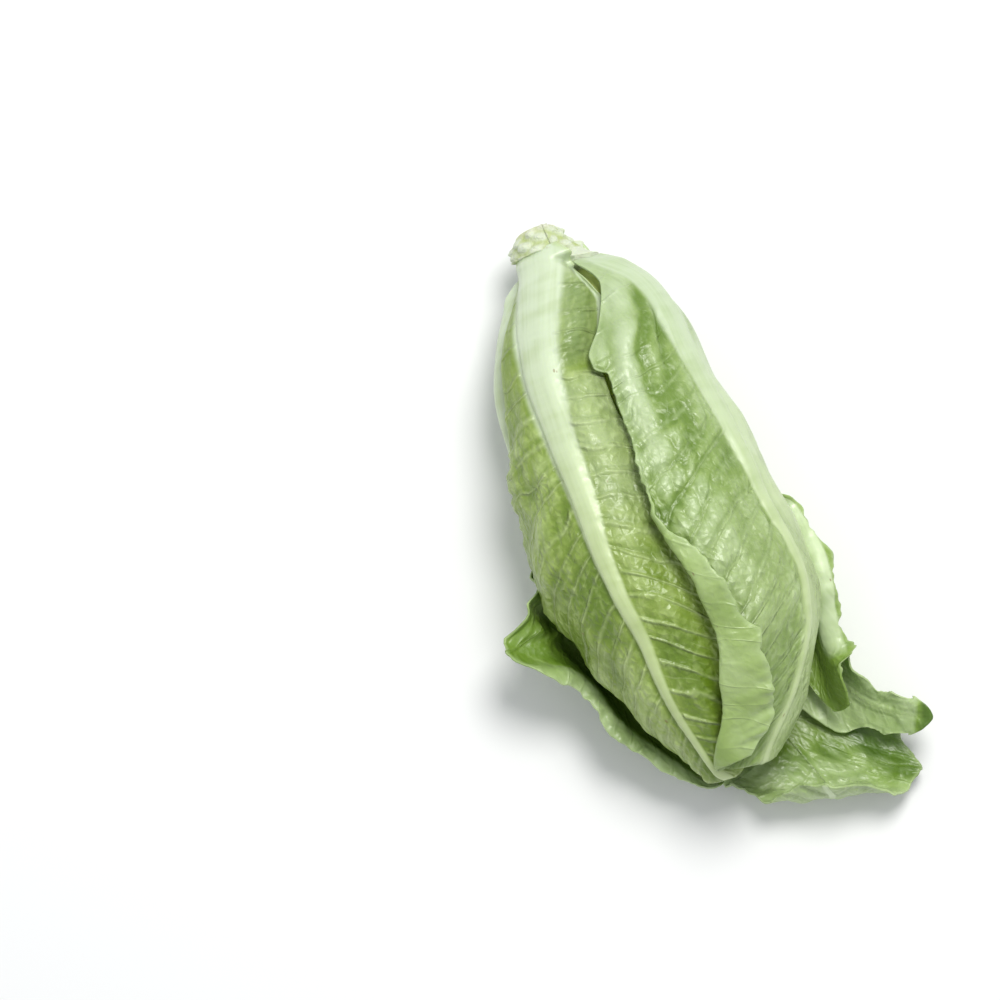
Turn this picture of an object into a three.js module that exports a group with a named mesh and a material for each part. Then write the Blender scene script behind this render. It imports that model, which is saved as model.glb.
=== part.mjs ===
// Romaine heart lying on its back, in millimetres, +Z up.
// The butt points to +Y and the leaf tips to -Y. Every leaf is one thin closed sheet.
// A place on the head is given by s, the distance from the cut face of the butt along the
// head, and by an angle round the head: 0 is up, -90 is the left side, 180 is the underside.
import * as THREE from 'three';

// ---- driving dimensions -------------------------------------------------------------------
const HEAD_PROFILE = [
  [-4, 14.5], [10, 18.3], [20, 25.8], [33, 34], [51, 40.2], [75, 43.8], [95, 47.2], [113, 49.6], [140, 50.2],
  [171, 43], [192, 33], [208, 21.5], [216, 15], [222, 10], [260, 5],
]; // s, half width of the head
const AXIS_SIDE = [
  [0, 0], [28, 2], [60, 0], [120, 0], [140, 2], [165, 5.5], [195, 4.5], [216, 0.5],
]; // s, shift to the right
const VALLEY_ANGLE = [[15, 14], [38, 14], [52, 5], [90, 4], [110, 1], [140, -3], [205, -8]];
const VALLEY_DEPTH = [[8, 0], [24, 2.5], [45, 4], [90, 4], [150, 3], [200, 1.5], [216, 0]];
const VALLEY_WIDTH = 13; // half width of the dip where the two front leaves meet
const AXIS_HEIGHT = [[0, 26], [40, 31], [75, 35], [113, 38], [180, 37], [222, 32]]; // s, mm
const HEIGHT_SHARE = 0.86; // height of the head over its width
const REST_DEPTH = 1.5; // how far the underside is pressed flat
const BLADE = 0.85; // blade thickness
const PAD = 1.2; // the room a leaf keeps round its own margin
const STEM_GAP = 1.4;
const STEM_TOP = 50;
const BUD_BASE = 53;
const BUD_TIP = 152;

const RIB_HALF_WIDTH = [[0, 9], [35, 8], [80, 5.6], [130, 3.8], [180, 2.5], [225, 1.5]];
const RIB_PROUD = [[0, 1.9], [50, 2.1], [110, 1.7], [170, 1.1], [225, 0.5]];
const RIB_BODY = [[0, 2.8], [50, 2.5], [110, 1.7], [170, 1.2], [225, 0.9]];
const LAYER_GAP = [[0, 1.1], [40, 1.4], [90, 2.3], [180, 2.3], [225, 1.5]];

// ---- small helpers ------------------------------------------------------------------------
const RAD = Math.PI / 180;
const clamp = (x, low, high) => Math.min(high, Math.max(low, x));
const mix = (a, b, t) => a + (b - a) * t;

function smooth(x, low, high) {
  const t = clamp((x - low) / (high - low), 0, 1);
  return t * t * (3 - 2 * t);
}

// Smooth curve through [x, y] points that never overshoots them.
function curve(points) {
  const n = points.length;
  const slopes = [];
  for (let i = 0; i < n - 1; i++) {
    slopes.push((points[i + 1][1] - points[i][1]) / (points[i + 1][0] - points[i][0]));
  }
  const tangents = points.map((point, i) => {
    if (i === 0) return slopes[0];
    if (i === n - 1) return slopes[n - 2];
    const product = slopes[i - 1] * slopes[i];
    return product <= 0 ? 0 : (2 * product) / (slopes[i - 1] + slopes[i]);
  });
  return (x) => {
    if (x <= points[0][0]) return points[0][1];
    if (x >= points[n - 1][0]) return points[n - 1][1];
    let i = 0;
    while (x > points[i + 1][0]) i++;
    const h = points[i + 1][0] - points[i][0];
    const t = (x - points[i][0]) / h;
    const u = 1 - t;
    return points[i][1] * u * u * (1 + 2 * t)
      + tangents[i] * h * u * u * t
      + points[i + 1][1] * t * t * (3 - 2 * t)
      - tangents[i + 1] * h * t * t * u;
  };
}

// Curve of vectors: rows of [x, a, b, c].
function vectorCurve(rows) {
  const parts = [1, 2, 3].map((k) => curve(rows.map((row) => [row[0], row[k]])));
  return (x) => new THREE.Vector3(parts[0](x), parts[1](x), parts[2](x));
}

const headRadius = curve(HEAD_PROFILE);
const axisSide = curve(AXIS_SIDE);
const axisHeight = curve(AXIS_HEIGHT);
const ribHalfWidth = curve(RIB_HALF_WIDTH);
const ribProud = curve(RIB_PROUD);
const ribBody = curve(RIB_BODY);
const layerGap = curve(LAYER_GAP);
const valleyAngle = curve(VALLEY_ANGLE);
const valleyDepth = curve(VALLEY_DEPTH);

// ---- the head's outer surface, and the surfaces below it ----------------------------------
function shellPoint(s, angle, below) {
  const wide = headRadius(s);
  const turn = Math.atan2(
    Math.sin(angle - valleyAngle(s) * RAD), Math.cos(angle - valleyAngle(s) * RAD));
  const depth = below + valleyDepth(s) * Math.exp(-(((turn * wide) / VALLEY_WIDTH) ** 2));
  const high = wide * HEIGHT_SHARE;
  const floor = axisHeight(s) + REST_DEPTH;
  const low = high < floor - 6 ? high : high - (high - floor + 6) ** 2 / 24;
  const half = Math.cos(angle) > 0 ? high : Math.min(low, floor);
  return new THREE.Vector3(
    axisSide(s) + Math.max(wide - depth, 0.6) * Math.sin(angle),
    -s,
    axisHeight(s) + Math.max(half - depth, 0.6) * Math.cos(angle),
  );
}

// ---- leaves -------------------------------------------------------------------------------
// base, tip: s of both ends. layer: how many leaves lie outside it, roughly.
// angle: rows of s, angle of the midrib. left, right: rows of s, half width in mm.
// wave: broad undulation of the blade, in mm. ruffle: lift of the free margins, in mm.
// teeth: depth and number of the cuts in the margins. free: the part of an outer leaf that
// leaves the head: path, across and into are vectors by s; bend is the two curvatures by s.
const LEAVES = [
  {
    name: 'leaf_under', base: 4, tip: 262, layer: 0,
    angle: [[0, 184], [60, 184], [120, 181], [260, 180]],
    left: [[4, 6], [13, 6.6], [30, 13], [60, 24], [100, 28], [150, 31], [195, 39], [220, 41],
      [240, 36], [262, 24]],
    right: [[4, 6], [13, 6.6], [30, 13], [60, 24], [100, 28], [150, 31], [195, 36], [235, 37],
      [262, 26]],
    bow: 11,
    wave: 0.6, ruffle: 1.5, teeth: [1.6, 9], phase: 0.4,
    free: {
      from: 120, to: 160,
      path: [
        [120, -3, -120, 1], [170, 6, -170, 1.2], [200, 17, -198, 1.2], [220, 25, -220, 2],
        [236, 29, -233, 6], [250, 29, -239, 17], [262, 27, -235, 28],
      ],
      across: [[120, -1, 0, 0], [180, -1, 0.05, 0], [215, -1, 0.25, 0], [262, -1, 0.34, 0]],
      bend: [[120, 0.018, 0.018], [160, 0.006, 0.006], [225, 0.004, 0.003], [262, 0.004, 0.002]],
    },
  },
  {
    name: 'leaf_back_right', base: 5, tip: 246, layer: 0,
    angle: [[0, 142], [60, 152], [120, 154], [246, 154]],
    left: [[5, 6], [13, 6.6], [30, 13], [60, 20], [105, 18], [130, 15], [150, 15], [190, 17],
      [205, 13], [218, 9], [232, 8], [246, 8]],
    right: [[5, 6], [13, 6.6], [30, 13], [60, 22], [120, 26], [190, 24], [206, 19], [220, 11],
      [232, 9], [246, 8]],
    bow: 9,
    wave: 0.6, ruffle: 1.2, teeth: [1.4, 9], phase: 1.9,
    free: {
      from: 104, to: 142, floor: [9.5, 5, 38, 52],
      path: [
        [110, 24, -110, 5], [155, 38, -154, 4.5], [190, 46, -187, 7], [212, 54, -206, 12],
        [230, 64, -216, 16], [246, 75.5, -222.5, 21],
      ],
      across: [
        [120, -0.8, 0, -0.6], [170, -0.75, -0.1, -0.66], [200, -0.55, -0.35, -0.75],
        [225, -0.42, -0.78, -0.35], [246, -0.4, -0.85, -0.2],
      ],
      bend: [
        [120, 0.004, 0.02], [150, 0.004, 0.02], [190, 0.024, 0.026], [215, 0.05, 0.03],
        [246, 0.06, 0.03],
      ],
    },
  },
  {
    name: 'leaf_right', base: 6, tip: 208, layer: 0,
    angle: [[0, 108], [30, 118], [60, 124], [120, 127], [208, 126]],
    left: [[6, 6], [13, 6.6], [30, 10], [60, 12], [100, 16], [126, 26], [150, 29], [164, 27],
      [174, 21], [184, 18.5], [196, 22], [208, 20]],
    cover: [17, 99],
    right: [[6, 6], [13, 6.6], [30, 13], [60, 22], [110, 24], [128, 24], [150, 27], [170, 26],
      [192, 21], [208, 13]],
    bow: 9,
    wave: 0.5, ruffle: 1.0, teeth: [2.4, 9], phase: 3.1,
    free: {
      from: 118, to: 160, floor: [16, 14, 44, 52],
      path: [
        [110, 40, -110, 15], [150, 45, -150, 18.5], [180, 45.5, -180, 19.5], [198, 45, -197, 21],
        [208, 48, -207, 24],
      ],
      across: [
        [110, -0.5, 0, -0.87], [150, -0.2, 0, -0.98], [180, -0.2, -0.1, -0.97],
        [208, -0.2, -0.3, -0.93],
      ],
      bend: [[110, 0.01, 0.02], [150, -0.02, 0.022], [180, -0.02, 0.026], [208, 0.004, 0.03]],
    },
  },
  {
    name: 'leaf_back_left', base: 5, tip: 232, layer: 0,
    angle: [[0, 228], [60, 228], [120, 229], [232, 229]],
    left: [[5, 6], [13, 6.6], [30, 13], [60, 22], [120, 28], [180, 28], [215, 21], [232, 14]],
    right: [[5, 6], [13, 6.6], [30, 10], [60, 13], [100, 17], [118, 25], [130, 38], [142, 44],
      [154, 40], [168, 29], [190, 26], [215, 20], [232, 15]],
    bow: 9,
    cover: [99, 15],
    wave: 0.6, ruffle: 1.2, teeth: [1.6, 10], phase: 4.4,
    free: {
      from: 116, to: 156, floor: [11.5, 3.5, 36, 50],
      path: [
        [110, -37, -110, 8], [150, -42, -150, 8.5], [180, -34, -178, 8], [210, -18.5, -203, 8],
        [232, -7, -217, 10],
      ],
      across: [
        [110, -0.45, 0, 0.9], [141, -0.62, 0, 0.78], [165, -0.42, 0, 0.9],
        [200, -0.5, -0.2, 0.84], [232, -0.35, -0.7, 0.6],
      ],
      bend: [[110, 0.02, 0.018], [141, 0.024, -0.018], [170, 0.028, 0.012], [232, 0.03, 0.02]],
    },
  },
  {
    name: 'leaf_front_right', base: 14, tip: 218, layer: 0,
    angle: [[11, 44], [28, 64], [60, 60], [120, 58], [170, 62], [200, 52], [221, 36]],
    left: [[14, 11], [24, 17.5], [33, 26], [44, 36], [54, 44.5], [58, 44.5], [62, 40], [70, 41.5],
      [83, 43.5], [109, 48.5], [150, 49], [170, 45], [185, 39], [203, 27], [212, 21], [218, 16]],
    right: [[14, 5], [19, 12], [25, 17.5], [40, 22], [60, 28], [100, 37], [150, 42], [185, 38], [203, 29],
      [212, 22], [218, 15]],
    bow: 2,
    flap: [[94, 1.5], [104, 3.5], [112, 5], [122, 7], [131, 11], [142, 14], [152, 15],
      [162, 18], [175, 21], [190, 24], [205, 26], [218, 22]],
    wave: 1.0, ruffle: 1.0, teeth: [1.6, 11], phase: 0.9,
  },
  {
    name: 'leaf_front_left', base: 4.5, tip: 219, layer: 1,
    angle: [[5, -36], [40, -36], [76, -34], [112, -30], [145, -32], [170, -37], [200, -46],
      [220, -52]],
    left: [[5, 9.5], [22, 14], [37, 18], [74, 30], [113, 50], [150, 53], [188, 42], [205, 26],
      [219, 13]],
    right: [[5, 9.5], [14, 17], [22, 23], [33, 31.5], [45, 30], [58, 24], [70, 24], [85, 28], [105, 37],
      [150, 43], [188, 37], [205, 25], [219, 12]],
    bow: 4,
    wave: 1.1, ruffle: 1.4, teeth: [1.2, 11], phase: 2.2,
  },
  {
    name: 'leaf_left', base: 8, tip: 214, layer: 1,
    angle: [[8, -86], [40, -92], [90, -97], [214, -97]],
    left: [[8, 6], [20, 9], [40, 18], [60, 28], [100, 42], [150, 47], [185, 38], [214, 14]],
    right: [[8, 6], [20, 9], [40, 18], [60, 28], [100, 40], [150, 44], [185, 36], [214, 13]],
    bow: 7,
    wave: 0.9, ruffle: 1.2, teeth: [1.2, 10], phase: 5.1,
  },
];

const INNER_ANGLES = [14, 190, -68, 96];
INNER_ANGLES.forEach((angle, i) => {
  const base = 17 + 6 * i;
  const tip = 206 - 10 * i;
  const width = 46 - 5 * i;
  const half = [
    [base, 7], [base + 22, 14 - i], [base + 50, width * 0.66],
    [mix(base, tip, 0.6), width], [mix(base, tip, 0.85), width * 0.8], [tip, width * 0.42],
  ];
  LEAVES.push({
    name: `leaf_inner_${i + 1}`, base, tip, layer: 2.4 + i * 0.7, inner: true,
    angle: [[base, angle], [tip, angle + 6]],
    left: half, right: half, bow: 11,
    wave: 0.7, ruffle: 0, teeth: [1.0, 8], phase: i * 1.3,
  });
});

const FOLD_RADIUS = 2.6;
const FOLD_TURN = 168 * RAD;
const foldTurn = (s) => FOLD_TURN * smooth(s, 90, 126);

LEAVES.forEach((leaf) => {
  leaf.midrib = curve(leaf.angle);
  leaf.leftWidth = curve(leaf.left);
  leaf.rightWidth = curve(leaf.right);
  leaf.flapWidth = leaf.flap ? curve(leaf.flap) : () => 0;
  leaf.ribScale = leaf.inner ? 0.62 : 1;
  if (leaf.free) {
    leaf.path = vectorCurve(leaf.free.path);
    leaf.across = vectorCurve(leaf.free.across);
    leaf.bendLeft = curve(leaf.free.bend.map((row) => [row[0], row[1]]));
    leaf.bendRight = curve(leaf.free.bend.map((row) => [row[0], row[2]]));
  }
});

// Millimetres of blade per radian round the head.
const spread = (leaf, s) => Math.max(headRadius(s) - 4 * leaf.layer, 7);

function ribWidth(leaf, s) {
  return Math.min(ribHalfWidth(s) * leaf.ribScale, 0.68 * leaf.rightWidth(s));
}

function ribShape(leaf, s, q) {
  const width = ribWidth(leaf, s);
  return Math.exp(-((Math.abs(q) / width) ** 4));
}

function bodyThickness(leaf, s, q) {
  const width = ribWidth(leaf, s);
  const extra = ribBody(s) * leaf.ribScale - BLADE * 0.6;
  return BLADE + Math.max(extra, 0) * Math.exp(-((q / (width * 1.3)) ** 2));
}

const proud = (leaf, s) => ribProud(s) * leaf.ribScale;

// Thickness measured straight out from the axis, over thickness measured through the sheet.
const slant = (s) => Math.hypot(1, clamp((headRadius(s + 2) - headRadius(s - 2)) / 4, -1, 1));

// Height that a loose leaf keeps above the surface the head lies on.
function floorHeight(leaf, x) {
  if (!leaf.free.floor) return -Infinity;
  const [near, far, from, to] = leaf.free.floor;
  return mix(near, far, smooth(Math.abs(x), from, to));
}

function raised(z, floor) {
  if (floor === -Infinity) return z;
  const rise = (z - floor) / 2.2;
  return floor + 2.2 * Math.log1p(Math.exp(-Math.abs(rise))) + Math.max(z - floor, 0);
}

// How far leaf covers the place s, angle: 1 on the leaf and a little beyond, then 0.
function coverage(leaf, s, angle, reach = 4.5) {
  let turn = (angle - leaf.midrib(s) * RAD) % (2 * Math.PI);
  if (turn > Math.PI) turn -= 2 * Math.PI;
  if (turn < -Math.PI) turn += 2 * Math.PI;
  const q = turn * spread(leaf, s);
  const room = leaf.cover ? leaf.cover[turn < 0 ? 0 : 1] : 99;
  const width = Math.min(turn < 0 ? leaf.leftWidth(s) : leaf.rightWidth(s), room);
  const fall = Math.max(5.5, 0.42 * headRadius(s) - 3);
  const edge = width + mix(PAD + 0.6, PAD, smooth(s, 18, 50));
  const lateral = 1 - smooth(Math.abs(q), edge, edge + fall);
  const start = smooth(s, leaf.base - reach, leaf.base - 0.8);
  const last = leaf.free ? Math.min(leaf.tip, 184) : leaf.tip;
  const end = 1 - smooth(s, last + 2, last + 16);
  return { amount: lateral * start * end, q };
}

// Depth of the outside of a leaf below the head's surface: the leaves outside it, stacked.
function stackDepth(index, s, angle, reach) {
  let depth = 0;
  let open = 1;
  for (let k = 0; k < index; k++) {
    const { amount, q } = coverage(LEAVES[k], s, angle, reach);
    if (amount > 0) {
      const own = proud(LEAVES[k], s) + bodyThickness(LEAVES[k], s, q);
      depth += amount * (own + layerGap(s)) * slant(s);
      open = Math.min(open, 1 - amount);
    }
  }
  return { depth, open };
}

// The side of a leaf that faces the heart, at s and q millimetres across from its midrib.
function innerFace(index, s, q) {
  const leaf = LEAVES[index];
  const limit = leaf.leftWidth(s);
  let lateral = q;
  let lift = 0;
  if (leaf.flap) {
    const turn = foldTurn(s);
    const over = Math.max(-q - limit, 0);
    const rolled = Math.min(over, FOLD_RADIUS * turn);
    const bend = rolled / FOLD_RADIUS;
    const straight = over - rolled;
    if (over > 0) {
      lateral = -limit - FOLD_RADIUS * Math.sin(bend) - straight * Math.cos(turn);
      lift += FOLD_RADIUS * (1 - Math.cos(bend)) + straight * Math.sin(turn);
    }
    lift += 1.8 * smooth(s, 90, 130) * smooth(-lateral, limit - 22, limit);
  }
  const angle = leaf.midrib(s) * RAD + lateral / spread(leaf, s);
  const { depth, open } = stackDepth(index, s, angle);
  const width = q < 0 ? limit + leaf.flapWidth(s) : leaf.rightWidth(s);
  const side = Math.min(Math.abs(q) / width, 1);
  const blade = 1 - ribShape(leaf, s, q);
  const along = s - 0.6 * Math.abs(q);
  const broad = 0.5 + 0.5 * Math.sin((along / 19) * Math.PI + leaf.phase + (q < 0 ? 1.1 : 0));
  const frill = 0.5 + 0.5 * Math.sin((s / 12.5) * Math.PI + leaf.phase * 2);
  lift += open * blade * (leaf.wave * 1.6 * broad * smooth(side, 0.1, 0.5)
    + leaf.ruffle * frill * smooth(side, 0.6, 1) * smooth(s, leaf.base + 30, leaf.base + 70));
  const sunk = (proud(leaf, s) + bodyThickness(leaf, s, lateral)) * slant(s);
  const hug = shellPoint(s, angle, depth + sunk - lift);
  if (!leaf.free || s <= leaf.free.from) return hug;

  const across = leaf.across(s).normalize();
  const ahead = leaf.path(s + 0.5).sub(leaf.path(s - 0.5)).normalize();
  const into = new THREE.Vector3().crossVectors(across, ahead).normalize();
  const bent = q < 0 ? leaf.bendLeft(s) : leaf.bendRight(s);
  const swing = bent * q;
  const sideways = Math.abs(bent) < 1e-4 ? q : Math.sin(swing) / bent;
  const rise = Math.abs(bent) < 1e-4 ? 0 : (1 - Math.cos(swing)) / bent;
  const curl = leaf.ruffle * frill * smooth(side, 0.6, 1) + leaf.wave * broad * blade;
  const loose = leaf.path(s)
    .addScaledVector(across, sideways)
    .addScaledVector(into, rise + bodyThickness(leaf, s, 0) + 1 - curl);
  const share = smooth(s, leaf.free.from, leaf.free.to);
  hug.lerp(loose, share);
  hug.z = mix(hug.z, raised(hug.z, floorHeight(leaf, hug.x)), share);
  return hug;
}

// Edge lines of a leaf: its margin is cut into shallow teeth, and its tip is rounded.
function marginShare(leaf, s) {
  const t = (s - leaf.base) / (leaf.tip - leaf.base);
  const [depth, count] = leaf.teeth;
  const tooth = Math.abs(((t * count + leaf.phase) % 1) - 0.5) * 2;
  return -depth * tooth * smooth(t, 0.25, 0.45);
}

const SIDE_FRACTIONS = [0.25, 0.5, 0.75, 1];

function sideColumns(leaf, s, width) {
  const start = Math.min(1.2 * ribWidth(leaf, s), 0.6 * width);
  const steps = leaf.inner ? [0.36, 0.68, 1] : SIDE_FRACTIONS;
  return [start * 0.46, start, ...steps.map((f) => mix(start, width, f))];
}

function foldColumns(leaf, s, width) {
  const start = Math.min(1.2 * ribWidth(leaf, s), 0.6 * width);
  const limit = leaf.leftWidth(s);
  const arc = FOLD_RADIUS * Math.max(foldTurn(s), 0.9);
  const even = [];
  for (let k = 1; k <= 10; k++) even.push(mix(start, width, k / 10));
  const end = Math.max(width, limit + arc + 1.5);
  const held = [
    mix(start, limit, 0.34), mix(start, limit, 0.68), limit, limit + arc * 0.25,
    limit + arc * 0.5, limit + arc * 0.75, limit + arc, mix(limit + arc, end, 0.34),
    mix(limit + arc, end, 0.67), end,
  ];
  const t = smooth(s, 90, 112);
  return [start * 0.46, start, ...even.map((value, k) => mix(value, held[k], t))];
}

function columnsAt(leaf, s) {
  const cut = marginShare(leaf, s);
  const leftEnd = Math.max(leaf.leftWidth(s) + leaf.flapWidth(s) + cut, 3);
  const rightEnd = Math.max(leaf.rightWidth(s) + cut * 0.9, 3);
  const left = leaf.flap ? foldColumns(leaf, s, leftEnd) : sideColumns(leaf, s, leftEnd);
  const right = sideColumns(leaf, s, rightEnd);
  return [...left.map((value) => -value).reverse(), 0, ...right];
}

// Rows of the sheet: close together where the leaf starts, and again towards its tip.
function rowsOf(leaf) {
  const rows = [leaf.base];
  while (rows.at(-1) < leaf.tip) {
    const s = rows.at(-1);
    const detailed = leaf.flap && ((s > 40 && s < 66) || (s > 88 && s < 128));
    const longest = leaf.inner ? 17 : detailed ? 5 : 12.5;
    rows.push(s + Math.min(1.7 + 0.34 * (s - leaf.base), longest, 2.4 + 0.3 * (leaf.tip - s)));
  }
  const stretch = (leaf.tip - leaf.base) / (rows.at(-1) - leaf.base);
  return rows.map((s) => leaf.base + (s - leaf.base) * stretch);
}

// Both faces of the sheet at s, q. Where it hugs the head its thickness is measured straight
// out from the axis, and where it is loose or folded, through the sheet.
function leafPair(index, s, q) {
  const leaf = LEAVES[index];
  const face = innerFace(index, s, q);
  const step = 0.4;
  const along = innerFace(index, s + step, q).sub(innerFace(index, s - step, q));
  const across = innerFace(index, s, q + step).sub(innerFace(index, s, q - step));
  const through = along.cross(across).normalize();
  const loose = leaf.free ? smooth(s, leaf.free.from, leaf.free.to) : 0;
  const folded = leaf.flap ? smooth(-q, 0.55 * leaf.leftWidth(s), 0.9 * leaf.leftWidth(s)) : 0;
  const angle = leaf.midrib(s) * RAD + q / spread(leaf, s);
  const out = new THREE.Vector3(Math.sin(angle), 0, Math.cos(angle));
  const turned = Math.max(loose, folded);
  out.lerp(through, turned).normalize();
  const round = Math.max(1 - (s - leaf.base) / 5, 0);
  const full = bodyThickness(leaf, s, q) + proud(leaf, s) * ribShape(leaf, s, q);
  const thickness = full * (1 - 0.32 * round ** 2) * mix(slant(s), 1, turned);
  return [face, face.clone().addScaledVector(out, thickness)];
}

function leafMesh(index) {
  const leaf = LEAVES[index];
  const rows = rowsOf(leaf);
  const points = [];
  const triangles = [];
  let width = 0;
  rows.forEach((s) => {
    const columns = columnsAt(leaf, s);
    width = columns.length;
    const end = leaf.rightWidth(s) + leaf.leftWidth(s);
    columns.forEach((q) => {
      const share = smooth(s, leaf.tip - 40, leaf.tip);
      const bow = leaf.bow * share * Math.min(Math.abs(2 * q) / end, 1.2) ** 2;
      points.push(...leafPair(index, s - bow, q));
    });
  });
  if (leaf.name === 'leaf_under') points.forEach((point) => { point.z = Math.max(point.z, 0); });

  const at = (row, column, side) => 2 * (row * width + column) + side;
  const quad = (a, b, c, d) => triangles.push(a, b, c, a, c, d);
  for (let i = 0; i < rows.length - 1; i++) {
    for (let j = 0; j < width - 1; j++) {
      quad(at(i, j, 0), at(i, j + 1, 0), at(i + 1, j + 1, 0), at(i + 1, j, 0));
      triangles.push(at(i, j, 1), at(i + 1, j, 1), at(i + 1, j + 1, 1));
      triangles.push(at(i, j, 1), at(i + 1, j + 1, 1), at(i, j + 1, 1));
    }
    quad(at(i, 0, 1), at(i, 0, 0), at(i + 1, 0, 0), at(i + 1, 0, 1));
    const k = width - 1;
    quad(at(i, k, 0), at(i, k, 1), at(i + 1, k, 1), at(i + 1, k, 0));
  }
  for (let j = 0; j < width - 1; j++) {
    const end = rows.length - 1;
    quad(at(0, j, 0), at(0, j, 1), at(0, j + 1, 1), at(0, j + 1, 0));
    quad(at(end, j, 1), at(end, j, 0), at(end, j + 1, 0), at(end, j + 1, 1));
  }
  return solid(leaf.name, points, triangles, leafColour(leaf));
}

function leafColour(leaf) {
  if (!leaf.inner) return 0x8fb35a;
  return leaf.layer > 3.3 ? 0xd3dc92 : 0xb9cf7c;
}

function solid(name, points, triangles, colour) {
  const geometry = new THREE.BufferGeometry();
  const flat = new Float32Array(points.flatMap((point) => [point.x, point.y, point.z]));
  geometry.setAttribute('position', new THREE.BufferAttribute(flat, 3));
  geometry.setIndex(triangles);
  geometry.computeVertexNormals();
  const material = new THREE.MeshStandardMaterial({
    color: colour, roughness: 0.55, metalness: 0, flatShading: true,
  });
  const mesh = new THREE.Mesh(geometry, material);
  mesh.name = name;
  return mesh;
}

// ---- stem and heart bud: rings round the axis ---------------------------------------------
function ringMesh(name, levels, count, ringPoint, colour) {
  const points = [];
  const triangles = [];
  levels.forEach((s) => {
    for (let k = 0; k < count; k++) points.push(ringPoint(s, (2 * Math.PI * k) / count));
  });
  const centre = (row) => {
    const sum = new THREE.Vector3();
    for (let k = 0; k < count; k++) sum.add(points[row * count + k]);
    return sum.divideScalar(count);
  };
  const first = points.length;
  points.push(centre(0), centre(levels.length - 1));
  for (let i = 0; i < levels.length - 1; i++) {
    for (let k = 0; k < count; k++) {
      const a = i * count + k;
      const b = i * count + ((k + 1) % count);
      triangles.push(a, b + count, b, a, a + count, b + count);
    }
  }
  const last = (levels.length - 1) * count;
  for (let k = 0; k < count; k++) {
    const next = (k + 1) % count;
    triangles.push(first, k, next, first + 1, last + next, last + k);
  }
  return solid(name, points, triangles, colour);
}

// Depth of the space left inside all the leaves.
function coreDepth(s, angle) {
  return stackDepth(LEAVES.length, s, angle, 2.4).depth + STEM_GAP;
}

const capRadius = curve([[-3.5, 7.5], [-2.6, 10], [-1, 12.6], [2, 14.4], [6, 16], [11, 17.5], [16, 24]]);
const cutAway = curve([[-4, 8], [2, 8], [8, 6], [11, 4.5], [16, 0]]); // less of the butt on its right
const coreLimit = curve([[0, 30], [14, 15], [30, 11.5], [44, 8], [STEM_TOP, 3.5]]);

// Knobs left where the outermost leaves were cut away, set round the butt in a spiral.
function scarHeight(s, angle) {
  let height = 0;
  for (let k = 0; k < 11; k++) {
    const turn = Math.atan2(Math.sin(angle - k * 2.4), Math.cos(angle - k * 2.4)) * 16;
    const along = s + 1.4 - 0.6 * k;
    height = Math.max(height, 2 * Math.exp(-((turn / 4.4) ** 4) - (along / 1.8) ** 2));
  }
  return height;
}

function stemPoint(s, angle) {
  const inside = headRadius(s) - coreDepth(s, angle);
  const rightward = (0.5 + 0.5 * Math.sin(angle)) ** 2;
  const cap = capRadius(s) - cutAway(s) * rightward + scarHeight(s, angle);
  const radius = Math.min(inside, cap, coreLimit(s));
  return shellPoint(s, angle, headRadius(s) - Math.max(radius, 2));
}

const budLimit = curve([
  [BUD_BASE, 3], [66, 9], [90, 14], [120, 15], [142, 9], [BUD_TIP, 2.4],
]);

function budPoint(s, angle) {
  const fold = 1 + 0.1 * Math.sin(3 * angle + s / 22) * smooth(s, BUD_BASE, 80);
  const radius = Math.min(headRadius(s) - coreDepth(s, angle) - 0.5, budLimit(s) * fold);
  return shellPoint(s, angle, headRadius(s) - Math.max(radius, 1.6));
}

const STEM_LEVELS = [
  -3.5, -2.6, -1.3, 0, 1.2, 2.4, 3.6, 4.8, 6, 7, 8.2, 9.6, 11, 13, 16, 20, 25, 31, 38, 44,
  STEM_TOP,
];
const BUD_LEVELS = [53, 58, 64, 72, 81, 91, 101, 111, 121, 130, 138, 146, 152];

// ---- the part -----------------------------------------------------------------------------
const part = new THREE.Group();
part.name = 'romaine_heart';
part.add(ringMesh('stem', STEM_LEVELS, 28, stemPoint, 0xdfe3c4));
LEAVES.forEach((leaf, index) => part.add(leafMesh(index)));
part.add(ringMesh('heart_bud', BUD_LEVELS, 20, budPoint, 0xe2e2a4));

const box = new THREE.Box3().setFromObject(part, true);
part.position.set(-(box.min.x + box.max.x) / 2, -(box.min.y + box.max.y) / 2, -box.min.z);
part.updateMatrixWorld(true);

export default part;
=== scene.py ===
"""Looks of the romaine heart that lies on its back, butt towards +Y, leaf tips towards -Y.

Every CAD leaf is replaced by a finer sheet made from the same dimensions and the same formulas
as the CAD source, in millimetres, with veins, puckers, pleats and ragged margins added. Only the
hidden base of leaf_right differs: it starts 7 mm further from the butt than in the CAD.
A place on the head is given by s, the distance from the cut face of the butt along the head,
and by an angle round the head: 0 is up, -90 degrees is the left side.
A place on a leaf is given by s and q, the distance across from its midrib.
"""

import math
from dataclasses import dataclass
from functools import reduce

import bpy
import numpy as np
from mathutils import Matrix, Vector


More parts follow.
